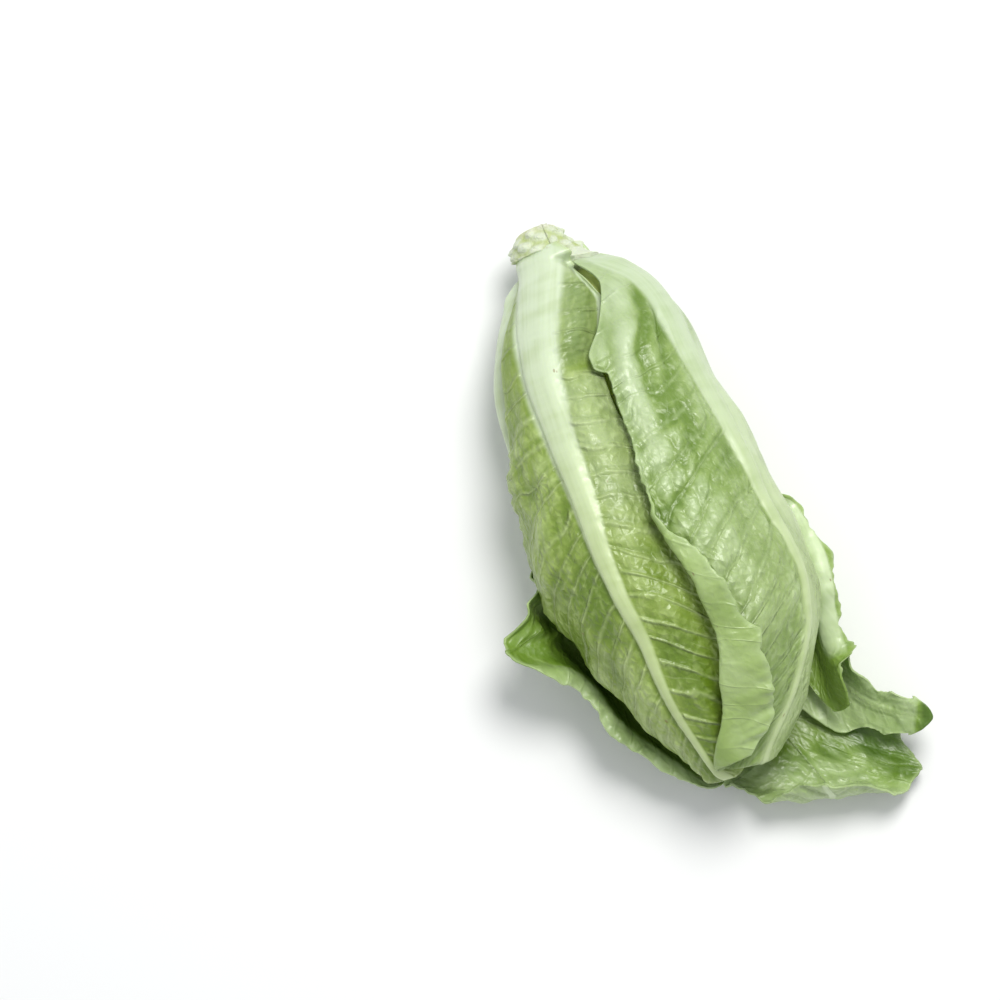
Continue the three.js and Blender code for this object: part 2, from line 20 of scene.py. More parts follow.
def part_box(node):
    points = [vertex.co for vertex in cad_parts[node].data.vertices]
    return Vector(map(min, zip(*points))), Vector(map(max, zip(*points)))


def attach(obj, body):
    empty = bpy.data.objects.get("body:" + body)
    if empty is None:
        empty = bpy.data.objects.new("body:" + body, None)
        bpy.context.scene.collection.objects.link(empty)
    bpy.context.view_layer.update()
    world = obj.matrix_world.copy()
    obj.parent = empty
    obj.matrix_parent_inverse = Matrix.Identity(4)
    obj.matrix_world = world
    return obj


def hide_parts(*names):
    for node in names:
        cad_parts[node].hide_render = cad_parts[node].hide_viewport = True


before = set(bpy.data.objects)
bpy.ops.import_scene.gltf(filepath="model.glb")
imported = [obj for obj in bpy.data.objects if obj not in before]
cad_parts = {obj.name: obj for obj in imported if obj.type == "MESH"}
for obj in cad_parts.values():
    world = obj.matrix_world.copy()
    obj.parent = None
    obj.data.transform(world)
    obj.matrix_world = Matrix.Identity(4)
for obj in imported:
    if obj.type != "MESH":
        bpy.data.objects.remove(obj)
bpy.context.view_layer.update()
MM = 0.001
RAD = math.pi / 180

# ---- driving dimensions, as in the CAD source, in millimetres
HEAD_PROFILE = [
    (-4, 14.5), (10, 18.3), (20, 25.8), (33, 34), (51, 40.2), (75, 43.8), (95, 47.2), (113, 49.6),
    (140, 50.2), (171, 43), (192, 33), (208, 21.5), (216, 15), (222, 10), (260, 5),
]
AXIS_SIDE = [
    (0, 0), (28, 2), (60, 0), (120, 0), (140, 2), (165, 5.5), (195, 4.5), (216, 0.5),
]
VALLEY_ANGLE = [(15, 14), (38, 14), (52, 5), (90, 4), (110, 1), (140, -3), (205, -8)]
VALLEY_DEPTH = [(8, 0), (24, 2.5), (45, 4), (90, 4), (150, 3), (200, 1.5), (216, 0)]
VALLEY_WIDTH = 13
AXIS_HEIGHT = [(0, 26), (40, 31), (75, 35), (113, 38), (180, 37), (222, 32)]
HEIGHT_SHARE = 0.86
REST_DEPTH = 1.5
BLADE = 0.85
PAD = 1.2
STEM_GAP = 1.4
STEM_BASE = -3.5
STEM_TOP = 50
BUD_BASE = 53
BUD_TIP = 152
FOLD_RADIUS = 2.6
FOLD_TURN = 168 * RAD

RIB_HALF_WIDTH = [(0, 9), (35, 8), (80, 5.6), (130, 3.8), (180, 2.5), (225, 1.5)]
RIB_PROUD = [(0, 1.9), (50, 2.1), (110, 1.7), (170, 1.1), (225, 0.5)]
RIB_BODY = [(0, 2.8), (50, 2.5), (110, 1.7), (170, 1.2), (225, 0.9)]
LAYER_GAP = [(0, 1.1), (40, 1.4), (90, 2.3), (180, 2.3), (225, 1.5)]

# base, tip: s of both ends. layer: how many leaves lie outside it, roughly. angle: s, angle of
# the midrib in degrees. left, right: s, half width. flap: s, width of the part of the left margin
# that is folded over. free: the part of an outer leaf that leaves the head, with s where that
# starts and ends, the course of its midrib as s, x, y, z, the direction across it, its curvature
# left and right of the midrib, and floor: the least height near the axis and far from it, and the
# distances from the axis between which it changes. puff: height of the puckers between the veins.
# vein: height of the lateral veins, below 0 where they lie in creases. frill: lift and length of
# the waves in a loose margin. cover: half widths beyond which the leaf covers nothing. rolls:
# margins that roll outwards, as side, first and last s, width, radius. grid: rows and columns of
# the mesh.
LEAVES = [
    dict(
        node="leaf_under", base=4, tip=262, bow=11,
        angle=[(0, 184), (60, 184), (120, 181), (260, 180)],
        left=[(4, 6), (13, 6.6), (30, 13), (60, 24), (100, 28), (150, 31), (195, 39), (220, 41), (240, 36),
              (262, 24)],
        right=[(4, 6), (13, 6.6), (30, 13), (60, 24), (100, 28), (150, 31), (195, 36), (235, 37),
               (262, 26)],
        wave=0.6, ruffle=1.5, teeth=(1.6, 9), phase=0.4,
        free=dict(
            start=120, end=160,
            path=[(120, -3, -120, 1), (170, 6, -170, 1.2), (200, 17, -198, 1.2), (220, 25, -220, 2),
                  (236, 29, -233, 6), (250, 29, -239, 17), (262, 27, -235, 28)],
            across=[(120, -1, 0, 0), (180, -1, 0.05, 0), (215, -1, 0.25, 0), (262, -1, 0.34, 0)],
            bend=[(120, 0.018, 0.018), (160, 0.006, 0.006), (225, 0.004, 0.003), (262, 0.004, 0.002)],
        ),
        grid=(230, 110), puff=0.8, frill=(1.0, 15), vein=0.5,
    ),
    dict(
        node="leaf_back_right", base=5, tip=246, bow=9,
        angle=[(0, 142), (60, 152), (120, 154), (246, 154)],
        left=[(5, 6), (13, 6.6), (30, 13), (60, 20), (105, 18), (130, 15), (150, 15), (190, 17), (205, 13),
              (218, 9), (232, 8), (246, 8)],
        right=[(5, 6), (13, 6.6), (30, 13), (60, 22), (120, 26), (190, 24), (206, 19), (220, 11), (232, 9),
               (246, 8)],
        wave=0.6, ruffle=1.2, teeth=(1.4, 9), phase=1.9,
        free=dict(
            start=104, end=142, floor=(9.5, 5, 38, 52),
            path=[(110, 24, -110, 5), (155, 38, -154, 4.5), (190, 46, -187, 7), (212, 54, -206, 12),
                  (230, 64, -216, 16), (246, 75.5, -222.5, 21)],
            across=[(120, -0.8, 0, -0.6), (170, -0.75, -0.1, -0.66), (200, -0.55, -0.35, -0.75),
                    (225, -0.42, -0.78, -0.35), (246, -0.4, -0.85, -0.2)],
            bend=[(120, 0.004, 0.02), (150, 0.004, 0.02), (190, 0.024, 0.026), (215, 0.05, 0.03),
                  (246, 0.06, 0.03)],
        ),
        grid=(230, 90), puff=0.8, frill=(0.7, 13), vein=0.5,
    ),
    dict(
        node="leaf_right", base=13, tip=208, bow=9,
        angle=[(0, 108), (30, 118), (60, 124), (120, 127), (208, 126)],
        left=[(6, 6), (13, 6.6), (30, 10), (60, 12), (100, 16), (126, 26), (150, 29), (164, 27), (174, 21),
              (184, 18.5), (196, 22), (208, 20)],
        right=[(6, 6), (13, 6.6), (30, 13), (60, 22), (110, 24), (128, 24), (150, 27), (170, 26),
               (192, 21), (208, 13)],
        cover=(17, 99),
        wave=0.5, ruffle=1.0, teeth=(2.4, 9), phase=3.1,
        free=dict(
            start=118, end=160, floor=(16, 14, 44, 52),
            path=[(110, 40, -110, 15), (150, 45, -150, 18.5), (180, 45.5, -180, 19.5), (198, 45, -197, 21),
                  (208, 48, -207, 24)],
            across=[(110, -0.5, 0, -0.87), (150, -0.2, 0, -0.98), (180, -0.2, -0.1, -0.97),
                    (208, -0.2, -0.3, -0.93)],
            bend=[(110, 0.01, 0.02), (150, -0.02, 0.022), (180, -0.02, 0.026), (208, 0.004, 0.03)],
        ),
        grid=(220, 90), puff=0.7, frill=(0.9, 9), rolls=[(-1, 118, 204, 13, 7)],
    ),
    dict(
        node="leaf_back_left", base=5, tip=232, bow=9,
        angle=[(0, 228), (60, 228), (120, 229), (232, 229)],
        left=[(5, 6), (13, 6.6), (30, 13), (60, 22), (120, 28), (180, 28), (215, 21), (232, 14)],
        right=[(5, 6), (13, 6.6), (30, 10), (60, 13), (100, 17), (118, 25), (130, 38), (142, 44),
               (154, 40), (168, 29), (190, 26), (215, 20), (232, 15)],
        cover=(99, 15),
        wave=0.6, ruffle=1.2, teeth=(1.6, 10), phase=4.4,
        free=dict(
            start=116, end=156, floor=(11.5, 3.5, 36, 50),
            path=[(110, -37, -110, 8), (150, -42, -150, 8.5), (180, -34, -178, 8), (210, -18.5, -203, 8),
                  (232, -7, -217, 10)],
            across=[(110, -0.45, 0, 0.9), (141, -0.62, 0, 0.78), (165, -0.42, 0, 0.9),
                    (200, -0.5, -0.2, 0.84), (232, -0.35, -0.7, 0.6)],
            bend=[(110, 0.02, 0.018), (141, 0.024, -0.018), (170, 0.028, 0.012), (232, 0.03, 0.02)],
        ),
        grid=(240, 110), puff=0.6, frill=(1.5, 12),
        rolls=[(1, 150, 226, 9, 6.5)],
    ),
    dict(
        node="leaf_front_right", base=14, tip=218, bow=2,
        angle=[(11, 44), (28, 64), (60, 60), (120, 58), (170, 62), (200, 52), (221, 36)],
        left=[(14, 11), (24, 17.5), (33, 26), (44, 36), (54, 44.5), (58, 44.5), (62, 40), (70, 41.5),
              (83, 43.5), (109, 48.5), (150, 49), (170, 45), (185, 39), (203, 27), (212, 21), (218, 16)],
        right=[(14, 5), (19, 12), (25, 17.5), (40, 22), (60, 28), (100, 37), (150, 42), (185, 38),
               (203, 29), (212, 22), (218, 15)],
        flap=[(94, 1.5), (104, 3.5), (112, 5), (122, 7), (131, 11), (142, 14), (152, 15), (162, 18),
              (175, 21), (190, 24), (205, 26), (218, 22)],
        wave=1.0, ruffle=1.0, teeth=(1.6, 11), phase=0.9,
        grid=(270, 165), puff=1.2, frill=(0.8, 11), vein=-0.35,
    ),
    dict(
        node="leaf_front_left", base=4.5, tip=219, layer=1, bow=4,
        angle=[(5, -36), (40, -36), (76, -34), (112, -30), (145, -32), (170, -37), (200, -46), (220, -52)],
        left=[(5, 9.5), (22, 14), (37, 18), (74, 30), (113, 50), (150, 53), (188, 42), (205, 26),
              (219, 13)],
        right=[(5, 9.5), (14, 17), (22, 23), (33, 31.5), (45, 30), (58, 24), (70, 24), (85, 28), (105, 37),
               (150, 43), (188, 37), (205, 25), (219, 12)],
        wave=1.1, ruffle=1.4, teeth=(1.2, 11), phase=2.2,
        grid=(280, 135), puff=0.9, frill=(0.7, 9), vein=0.5,
        rolls=[(1, 9, 52, 4.5, 3.2)],
    ),
    dict(
        node="leaf_left", base=8, tip=214, layer=1, bow=7,
        angle=[(8, -86), (40, -92), (90, -97), (214, -97)],
        left=[(8, 6), (20, 9), (40, 18), (60, 28), (100, 42), (150, 47), (185, 38), (214, 14)],
        right=[(8, 6), (20, 9), (40, 18), (60, 28), (100, 40), (150, 44), (185, 36), (214, 13)],
        wave=0.9, ruffle=1.2, teeth=(1.2, 10), phase=5.1,
        grid=(200, 90), puff=0.9, frill=(0.5, 10),
    ),
]

INNER_ANGLES = [14, 190, -68, 96]


# ---- small helpers
def mix(a, b, t):
    return a + (b - a) * t


def smooth(x, low, high):
    t = np.clip((x - low) / (high - low), 0, 1)
    return t * t * (3 - 2 * t)


def between(x, start, full, fade, end):
    """1 from full to fade, and 0 before start and after end."""
    return smooth(x, start, full) * (1 - smooth(x, fade, end))


def bell(x, width):
    return np.exp(-((x / width) ** 2))


def turn_from(angle, degrees):
    """The angle from a direction given in degrees, within half a turn either way."""
    return (angle - degrees * RAD + math.pi) % math.tau - math.pi


def curve(points):
    """Smooth curve through (x, y) points that never overshoots them."""
    x = np.array([point[0] for point in points], float)
    y = np.array([point[1] for point in points], float)
    step = np.diff(x)
    slopes = np.diff(y) / step
    product = slopes[:-1] * slopes[1:]
    total = np.where(product > 0, slopes[:-1] + slopes[1:], 1)
    tangents = np.concatenate([slopes[:1], np.where(product > 0, 2 * product / total, 0), slopes[-1:]])

    def at(value):
        value = np.clip(value, x[0], x[-1])
        i = np.clip(np.searchsorted(x, value, side="right") - 1, 0, len(x) - 2)
        h = step[i]
        t = (value - x[i]) / h
        u = 1 - t
        rise = y[i] * u * u * (1 + 2 * t) + y[i + 1] * t * t * (3 - 2 * t)
        return rise + h * t * u * (tangents[i] * u - tangents[i + 1] * t)

    return at


def vector_curve(rows):
    parts = [curve([(row[0], row[k]) for row in rows]) for k in (1, 2, 3)]
    return lambda x: np.stack([part(x) for part in parts], -1)


def unit(vectors):
    return vectors / np.maximum(np.linalg.norm(vectors, axis=-1, keepdims=True), 1e-9)


LATTICE = np.random.default_rng(41).uniform(-1, 1, (256, 256))


def noise(x, y):
    """Smooth noise from -1 to 1 with features one unit across."""
    i = np.floor(x).astype(int)
    j = np.floor(y).astype(int)
    u = smooth(x - i, 0, 1)
    v = smooth(y - j, 0, 1)
    near = mix(LATTICE[i % 256, j % 256], LATTICE[(i + 1) % 256, j % 256], u)
    far = mix(LATTICE[i % 256, (j + 1) % 256], LATTICE[(i + 1) % 256, (j + 1) % 256], u)
    return mix(near, far, v)


head_radius = curve(HEAD_PROFILE)
axis_side = curve(AXIS_SIDE)
axis_height = curve(AXIS_HEIGHT)
rib_half_width = curve(RIB_HALF_WIDTH)
rib_proud = curve(RIB_PROUD)
rib_body = curve(RIB_BODY)
layer_gap = curve(LAYER_GAP)
valley_angle = curve(VALLEY_ANGLE)
valley_depth = curve(VALLEY_DEPTH)


# ---- the head's outer surface, and the leaves stacked below it
def shell_point(s, angle, below):
    wide = head_radius(s)
    turn = turn_from(angle, valley_angle(s))
    depth = below + valley_depth(s) * bell(turn * wide, VALLEY_WIDTH)
    high = wide * HEIGHT_SHARE
    floor = axis_height(s) + REST_DEPTH
    low = np.where(high < floor - 6, high, high - (high - floor + 6) ** 2 / 24)
    half = np.where(np.cos(angle) > 0, high, np.minimum(low, floor))
    side = axis_side(s) + np.maximum(wide - depth, 0.6) * np.sin(angle)
    height = axis_height(s) + np.maximum(half - depth, 0.6) * np.cos(angle)
    return np.stack([side, -s + 0 * angle, height], -1)


@dataclass
class Leaf:
    """One leaf: the curves of its outline and of its course over the head."""

    node: str
    base: float
    tip: float
    bow: float
    angle: list
    left: list
    right: list
    wave: float
    ruffle: float
    teeth: tuple
    phase: float
    grid: tuple
    puff: float
    frill: tuple
    layer: float = 0
    vein: float = 0.4
    inner: bool = False
    cover: tuple = (99, 99)
    flap: list = None
    free: dict = None
    rolls: tuple = ()

    def __post_init__(self):
        self.folded = self.flap is not None
        self.rib_scale = 0.62 if self.inner else 1
        self.midrib = curve(self.angle)
        self.left = curve(self.left)
        self.right = curve(self.right)
        self.flap = curve(self.flap) if self.folded else lambda s: 0 * s
        if self.free:
            self.path = vector_curve(self.free["path"])
            self.across = vector_curve(self.free["across"])
            bend = self.free["bend"]
            self.bend_left = curve([(row[0], row[1]) for row in bend])
            self.bend_right = curve([(row[0], row[2]) for row in bend])

    def spread(self, s):
        """Millimetres of blade per radian round the head."""
        return np.maximum(head_radius(s) - 4 * self.layer, 7)

    def rib_width(self, s):
        return np.minimum(rib_half_width(s) * self.rib_scale, 0.68 * self.right(s))

    def rib_shape(self, s, q):
        return np.exp(-((np.abs(q) / self.rib_width(s)) ** 4))

    def thickness(self, s, q):
        extra = np.maximum(rib_body(s) * self.rib_scale - BLADE * 0.6, 0)
        return BLADE + extra * bell(q, self.rib_width(s) * 1.3)

    def proud(self, s):
        return rib_proud(s) * self.rib_scale

    def left_margin(self, s, q, start, full):
        """0 to 1 between two distances inwards from the left margin, or beyond it below 0."""
        return smooth(-q, self.left(s) - start, self.left(s) - full)

    def right_margin(self, s, q, start, full):
        return smooth(q, self.right(s) - start, self.right(s) - full)

    def whole_width(self, s, q):
        """Distance from the midrib to the margin on the side of q, with the flap unfolded."""
        return np.where(q < 0, self.left(s) + self.flap(s), self.right(s))

    def turned_free(self, s):
        """0 where the leaf lies on the head, 1 where it has left it."""
        return smooth(s, self.free["start"], self.free["end"]) if self.free else 0 * s

    def coverage(self, s, angle, reach):
        """1 where the leaf covers the place s, angle, and a little beyond, then 0."""
        turn = turn_from(angle, self.midrib(s))
        q = turn * self.spread(s)
        left = np.minimum(self.left(s), self.cover[0])
        right = np.minimum(self.right(s), self.cover[1])
        fall = np.maximum(5.5, 0.42 * head_radius(s) - 3)
        edge = np.where(turn < 0, left, right) + mix(PAD + 0.6, PAD, smooth(s, 18, 50))
        lateral = 1 - smooth(np.abs(q) - edge, 0, fall)
        start = smooth(s, self.base - reach, self.base - 0.8)
        last = min(self.tip, 184) if self.free else self.tip
        return lateral * start * (1 - smooth(s, last + 2, last + 16)), q

    def ends(self, s):
        """Half widths to the left and right margins, which are cut into shallow teeth."""
        t = (s - self.base) / (self.tip - self.base)
        depth, count = self.teeth
        tooth = 0.5 + 0.5 * np.cos(math.tau * (t * count + self.phase))
        tooth = tooth + 0.5 * noise(s / 6, 0 * s + self.phase) + 0.3 * noise(s / 2.4, 0 * s + 7)
        cut = -depth * tooth * smooth(t, 0.25, 0.45)
        left = np.maximum(self.left(s) + self.flap(s) + cut, 3)
        return left, np.maximum(self.right(s) + cut * 0.9, 3)


for place, degrees in enumerate(INNER_ANGLES):
    first = 17 + 6 * place
    last = 206 - 10 * place
    widest = 46 - 5 * place
    half_widths = [
        (first, 7), (first + 22, 14 - place), (first + 50, widest * 0.66),
        (mix(first, last, 0.6), widest), (mix(first, last, 0.85), widest * 0.8),
        (last, widest * 0.42),
    ]
    LEAVES.append(dict(
        node=f"leaf_inner_{place + 1}", base=first, tip=last, layer=2.4 + place * 0.7, bow=11,
        angle=[(first, degrees), (last, degrees + 6)], left=half_widths, right=half_widths,
        wave=0.7, ruffle=0, teeth=(1.0, 8), phase=place * 1.3, inner=True,
        grid=(130, 80), puff=0.5, frill=(0, 9),
    ))

LEAVES = [Leaf(**row) for row in LEAVES]


def slant(s):
    """Thickness measured straight out from the axis, over thickness through the sheet."""
    return np.hypot(1, np.clip((head_radius(s + 2) - head_radius(s - 2)) / 4, -1, 1))


def stack_depth(leaves, s, angle, reach=4.5):
    """Depth below the head's surface that these leaves fill, and how open the place is."""
    depth = 0 * s
    uncovered = 1 + 0 * s
    for leaf in leaves:
        amount, q = leaf.coverage(s, angle, reach)
        own = leaf.proud(s) + leaf.thickness(s, q) + layer_gap(s)
        depth = depth + amount * own * slant(s)
        uncovered = np.minimum(uncovered, 1 - amount)
    return depth, uncovered


def fold_turn(s):
    return FOLD_TURN * smooth(s, 90, 126)


def folded_place(leaf, s, q):
    """Where q lies across the head, and how far it stands out, with the left margin folded."""
    limit = leaf.left(s)
    turn = np.maximum(fold_turn(s), 1e-6)
    over = np.maximum(-q - limit, 0)
    rolled = np.minimum(over, FOLD_RADIUS * turn)
    bend = rolled / FOLD_RADIUS
    straight = over - rolled
    inward = -limit - FOLD_RADIUS * np.sin(bend) - straight * np.cos(turn)
    lateral = np.where(over > 0, inward, q)
    lift = np.where(over > 0, FOLD_RADIUS * (1 - np.cos(bend)) + straight * np.sin(turn), 0)
    return lateral, lift + 1.8 * smooth(s, 90, 130) * smooth(-lateral - limit, -22, 0)


def inner_face(index, s, q):
    """The side of a leaf that faces the heart."""
    leaf = LEAVES[index]
    lateral, lift = folded_place(leaf, s, q) if leaf.folded else (q, 0)
    angle = leaf.midrib(s) * RAD + lateral / leaf.spread(s)
    depth, uncovered = stack_depth(LEAVES[:index], s, angle)
    width = leaf.whole_width(s, q)
    side = np.minimum(np.abs(q) / width, 1)
    blade = 1 - leaf.rib_shape(s, q)
    along = s - 0.6 * np.abs(q)
    broad = 0.5 + 0.5 * np.sin((along / 19) * math.pi + leaf.phase + np.where(q < 0, 1.1, 0))
    frill = 0.5 + 0.5 * np.sin((s / 12.5) * math.pi + leaf.phase * 2)
    waves = leaf.wave * 1.6 * broad * smooth(side, 0.1, 0.5)
    margin = leaf.ruffle * frill * smooth(side, 0.6, 1)
    lift = lift + uncovered * blade * (waves + margin * smooth(s, leaf.base + 30, leaf.base + 70))
    sunk = (leaf.proud(s) + leaf.thickness(s, lateral)) * slant(s)
    hug = shell_point(s, angle, depth + sunk - lift)
    if not leaf.free:
        return hug

    across = unit(leaf.across(s))
    ahead = unit(leaf.path(s + 0.5) - leaf.path(s - 0.5))
    into = unit(np.cross(across, ahead))
    bent = np.where(q < 0, leaf.bend_left(s), leaf.bend_right(s))
    bent = np.where(np.abs(bent) < 1e-4, 1e-4, bent)
    sideways = np.sin(bent * q) / bent
    rise = (1 - np.cos(bent * q)) / bent
    curl = margin + leaf.wave * broad * blade
    loose = leaf.path(s) + across * sideways[..., None]
    loose = loose + into * (rise + leaf.thickness(s, 0 * q) + 1 - curl)[..., None]
    share = leaf.turned_free(s)
    hug = mix(hug, loose, share[..., None])
    if "floor" in leaf.free:
        near, far, start, end = leaf.free["floor"]
        floor = mix(near, far, smooth(np.abs(hug[..., 0]), start, end))
        above = hug[..., 2] - floor
        raised = floor + 2.2 * np.log1p(np.exp(-np.abs(above / 2.2))) + np.maximum(above, 0)
        hug[..., 2] = mix(hug[..., 2], raised, share)
    return hug


# ---- fine form of the blades
VEIN_SPACING = 9.5
MINOR_SPACING = 4.6
CELL_LENGTH = 7.0


def vein_net(leaf, s, q):
    """Lateral veins passed since the butt, and the distance out along them in mm."""
    away = np.abs(q)
    side = np.where(q < 0, 37.0, 0) + 11 * leaf.phase
    slope = 0.32 + 0.55 * smooth(s, 70, 165)
    run = (s - slope * away + 0.0025 * away ** 2) / VEIN_SPACING + side
    run = run + 0.32 * noise(run * 0.8, away / 19 + side) + 0.1 * noise(run * 2.1 + 7, away / 6)
    return run, away + 2.5 * noise(run * 1.3 + 5, away / 12)


def relief(leaf, s, q, side):
    """Height of the fine form over the plain sheet, in mm."""
    run, out = vein_net(leaf, s, q)
    strip = np.floor(run)
    part = run - strip
    cross = out / CELL_LENGTH + 2 * LATTICE[strip.astype(int) % 256, 3]
    cell = cross - np.floor(cross)
    blade = 1 - leaf.rib_shape(s, q * 0.85)
    seed = 9 * leaf.phase
    grown = smooth(s, leaf.base + 25, leaf.base + 100)
    strength = np.clip(0.7 + 0.9 * noise(s / 23 + seed, q / 17 + seed), 0.15, 1.6)
    pillow = (4 * part * (1 - part)) ** 0.8 * (0.55 + 1.8 * cell * (1 - cell)) - 0.4
    nearest = np.minimum(part, 1 - part) * VEIN_SPACING
    ridge = bell(nearest, 0.95) * smooth(s, leaf.base + 15, leaf.base + 60) * (1 - 0.6 * side)
    folded = leaf.left_margin(s, q, 3, -3)
    ridge = ridge * (1 - folded)
    pillow = pillow * (1 - 0.75 * folded)
    if leaf.node == "leaf_front_left":
        ridge = ridge * (1 - front_left_hollow(leaf, s, q)[0])
    if leaf.node == "leaf_front_right":
        ridge = ridge * smooth(s, 70, 100)
    crease = bell(noise(run * 1.15 + 3, out / 26 + seed), 0.15) * grown
    height = leaf.puff * pillow * strength * grown + leaf.vein * ridge
    height = height + 1.1 * noise(s / 15 + seed, q / 10 - seed) * (0.35 + 0.65 * grown)
    height = height - 0.45 * crease * np.clip(noise(s / 19, q / 14 + seed) + 0.5, 0, 1)
    height = height + 0.22 * noise(s / 3.1 - seed, q / 2.9 + seed) * grown
    if leaf.node == "leaf_front_right":
        blade = blade * (1 - 0.8 * smooth(q, 0, 6))
    if leaf.node == "leaf_right":
        blade = blade * 0.35
    return height * blade


def frilled(leaf, s, side):
    """Lift of the margins where they are loose."""
    height, length = leaf.frill
    seed = 5 * leaf.phase
    beat = s / length + 0.45 * noise(s / length + seed, side + seed)
    wave = np.sin(math.tau * beat) + 0.5 * np.sin(math.tau * beat * 2.3 + 1.7)
    wave = wave * (0.6 + 0.6 * noise(s / 21 + seed, 0 * s))
    return height * wave * smooth(side, 0.72, 1) ** 1.5 * smooth(s, leaf.base + 40, leaf.base + 90)


def front_left_hollow(leaf, s, q):
    """1 in the green hollow right of the midrib, near the butt."""
    width = leaf.rib_width(s)
    place = (q - 1.1 * width) / np.maximum(leaf.right(s) - 1.1 * width, 5)
    return between(place, 0, 0.35, 0.75, 1) * between(s, 14, 24, 49, 57), place


def front_left_form(leaf, s, q):
    """Hollow, wrinkles and ridge right of the midrib, groove on its left, crumpled margin."""
    hollow, place = front_left_hollow(leaf, s, q)
    wrinkle = np.sin(math.tau * (s + 0.12 * q) / 2.6 + 1.8 * noise(s / 5, q / 6))
    ridge = bell(s - 57 - 0.1 * (q - 12), 1.9) * smooth(place, 0.05, 0.3)
    groove = bell(q + 1.12 * leaf.rib_width(s), 1.4) * smooth(s, 10, 30)
    crumple = bell(s - 76, 17) * smooth(q / leaf.right(s), 0.6, 0.95)
    crumple = crumple * np.sin(math.tau * s / 6.5 + 3 * noise(s / 7, q / 5))
    return -1.1 * hollow + 0.28 * wrinkle * hollow + 1.3 * ridge - 1.0 * groove + 1.3 * crumple


pleat_line = curve([(14, 15), (24, 20), (40, 31), (60, 40), (84, 44), (118, 49)])


def pleats(s, q):
    """Pleats along the left margin of the front right leaf: 1 on the outer one, -1 in a valley."""
    inwards = pleat_line(s) + q + 1.6 * noise(s / 11 + 3, q / 9)
    band = bell(inwards - 7, 5) * between(s, 18, 30, 96, 118)
    first = bell(inwards - 15, 3) * between(s, 26, 38, 84, 100)
    second = bell(inwards - 25, 2.6) * between(s, 40, 50, 64, 76)
    third = bell(inwards - 22, 3) * bell(s - 88, 12)
    return band - first * (0.75 + 0.5 * noise(s / 7, 0 * s)) - 0.9 * second - 0.6 * third


def front_right_form(leaf, s, q):
    """Pleats in the upper blade, and its crumpled left margin."""
    crumple = bell(s - 74, 19) ** 0.5 * smooth(s, 55, 60) * smooth(-q / leaf.left(s), 0.84, 0.97)
    crumple = crumple * np.sin(math.tau * (s + 0.4 * q) / 5.2 + 6 * noise(s / 8, q / 6))
    rumple = noise(s / 6, q / 3.4 + 4) * between(s, 24, 36, 80, 100) * smooth(-q, 5, 10)
    return 1.3 * pleats(s, q) + 0.7 * crumple + 0.4 * rumple


def back_left_form(leaf, s, q):
    """A fold across the blade: its upper part lies lower, and the lower part is laid over it."""
    crest = 143 + 3 * noise(q / 6, 0 * q)
    step = between(s, crest - 4, crest, crest, crest + 24)
    flutter = bell(s - 133, 11) * np.sin(math.tau * s / 13 + 0.12 * q)
    return (-4.5 * step - 2.2 * flutter) * smooth(q, 8, 20)


def under_form(leaf, s, q):
    """Crumpled blade of the upturned tip."""
    broad = 1.6 * noise(s / 9, q / 11) * smooth(s, 208, 222)
    return broad + 0.8 * noise(s / 4, q / 5) * smooth(s, 212, 222)


def left_form(leaf, s, q):
    """Torn, knobbly base."""
    torn = noise(s / 3, q / 2.6 + 5) + 0.5 * noise(s / 1.5, q / 1.6)
    return 1.2 * torn * (1 - smooth(s, 15, 27)) + 2.4 * bell(s - 12, 7)


def inner_form(leaf, s, q):
    """Ridges of the leaf that shows in the opening between the two front leaves."""
    wave = np.sin(math.tau * (q + 0.25 * s) / 6 + 2 * noise(s / 9, q / 7))
    return 1.1 * wave * bell(s - 70, 30) + 3 * bell(s - 26, 9)


SPECIAL_FORMS = {
    "leaf_front_left": front_left_form, "leaf_front_right": front_right_form,
    "leaf_back_left": back_left_form, "leaf_under": under_form, "leaf_inner_1": inner_form,
    "leaf_left": left_form,
}


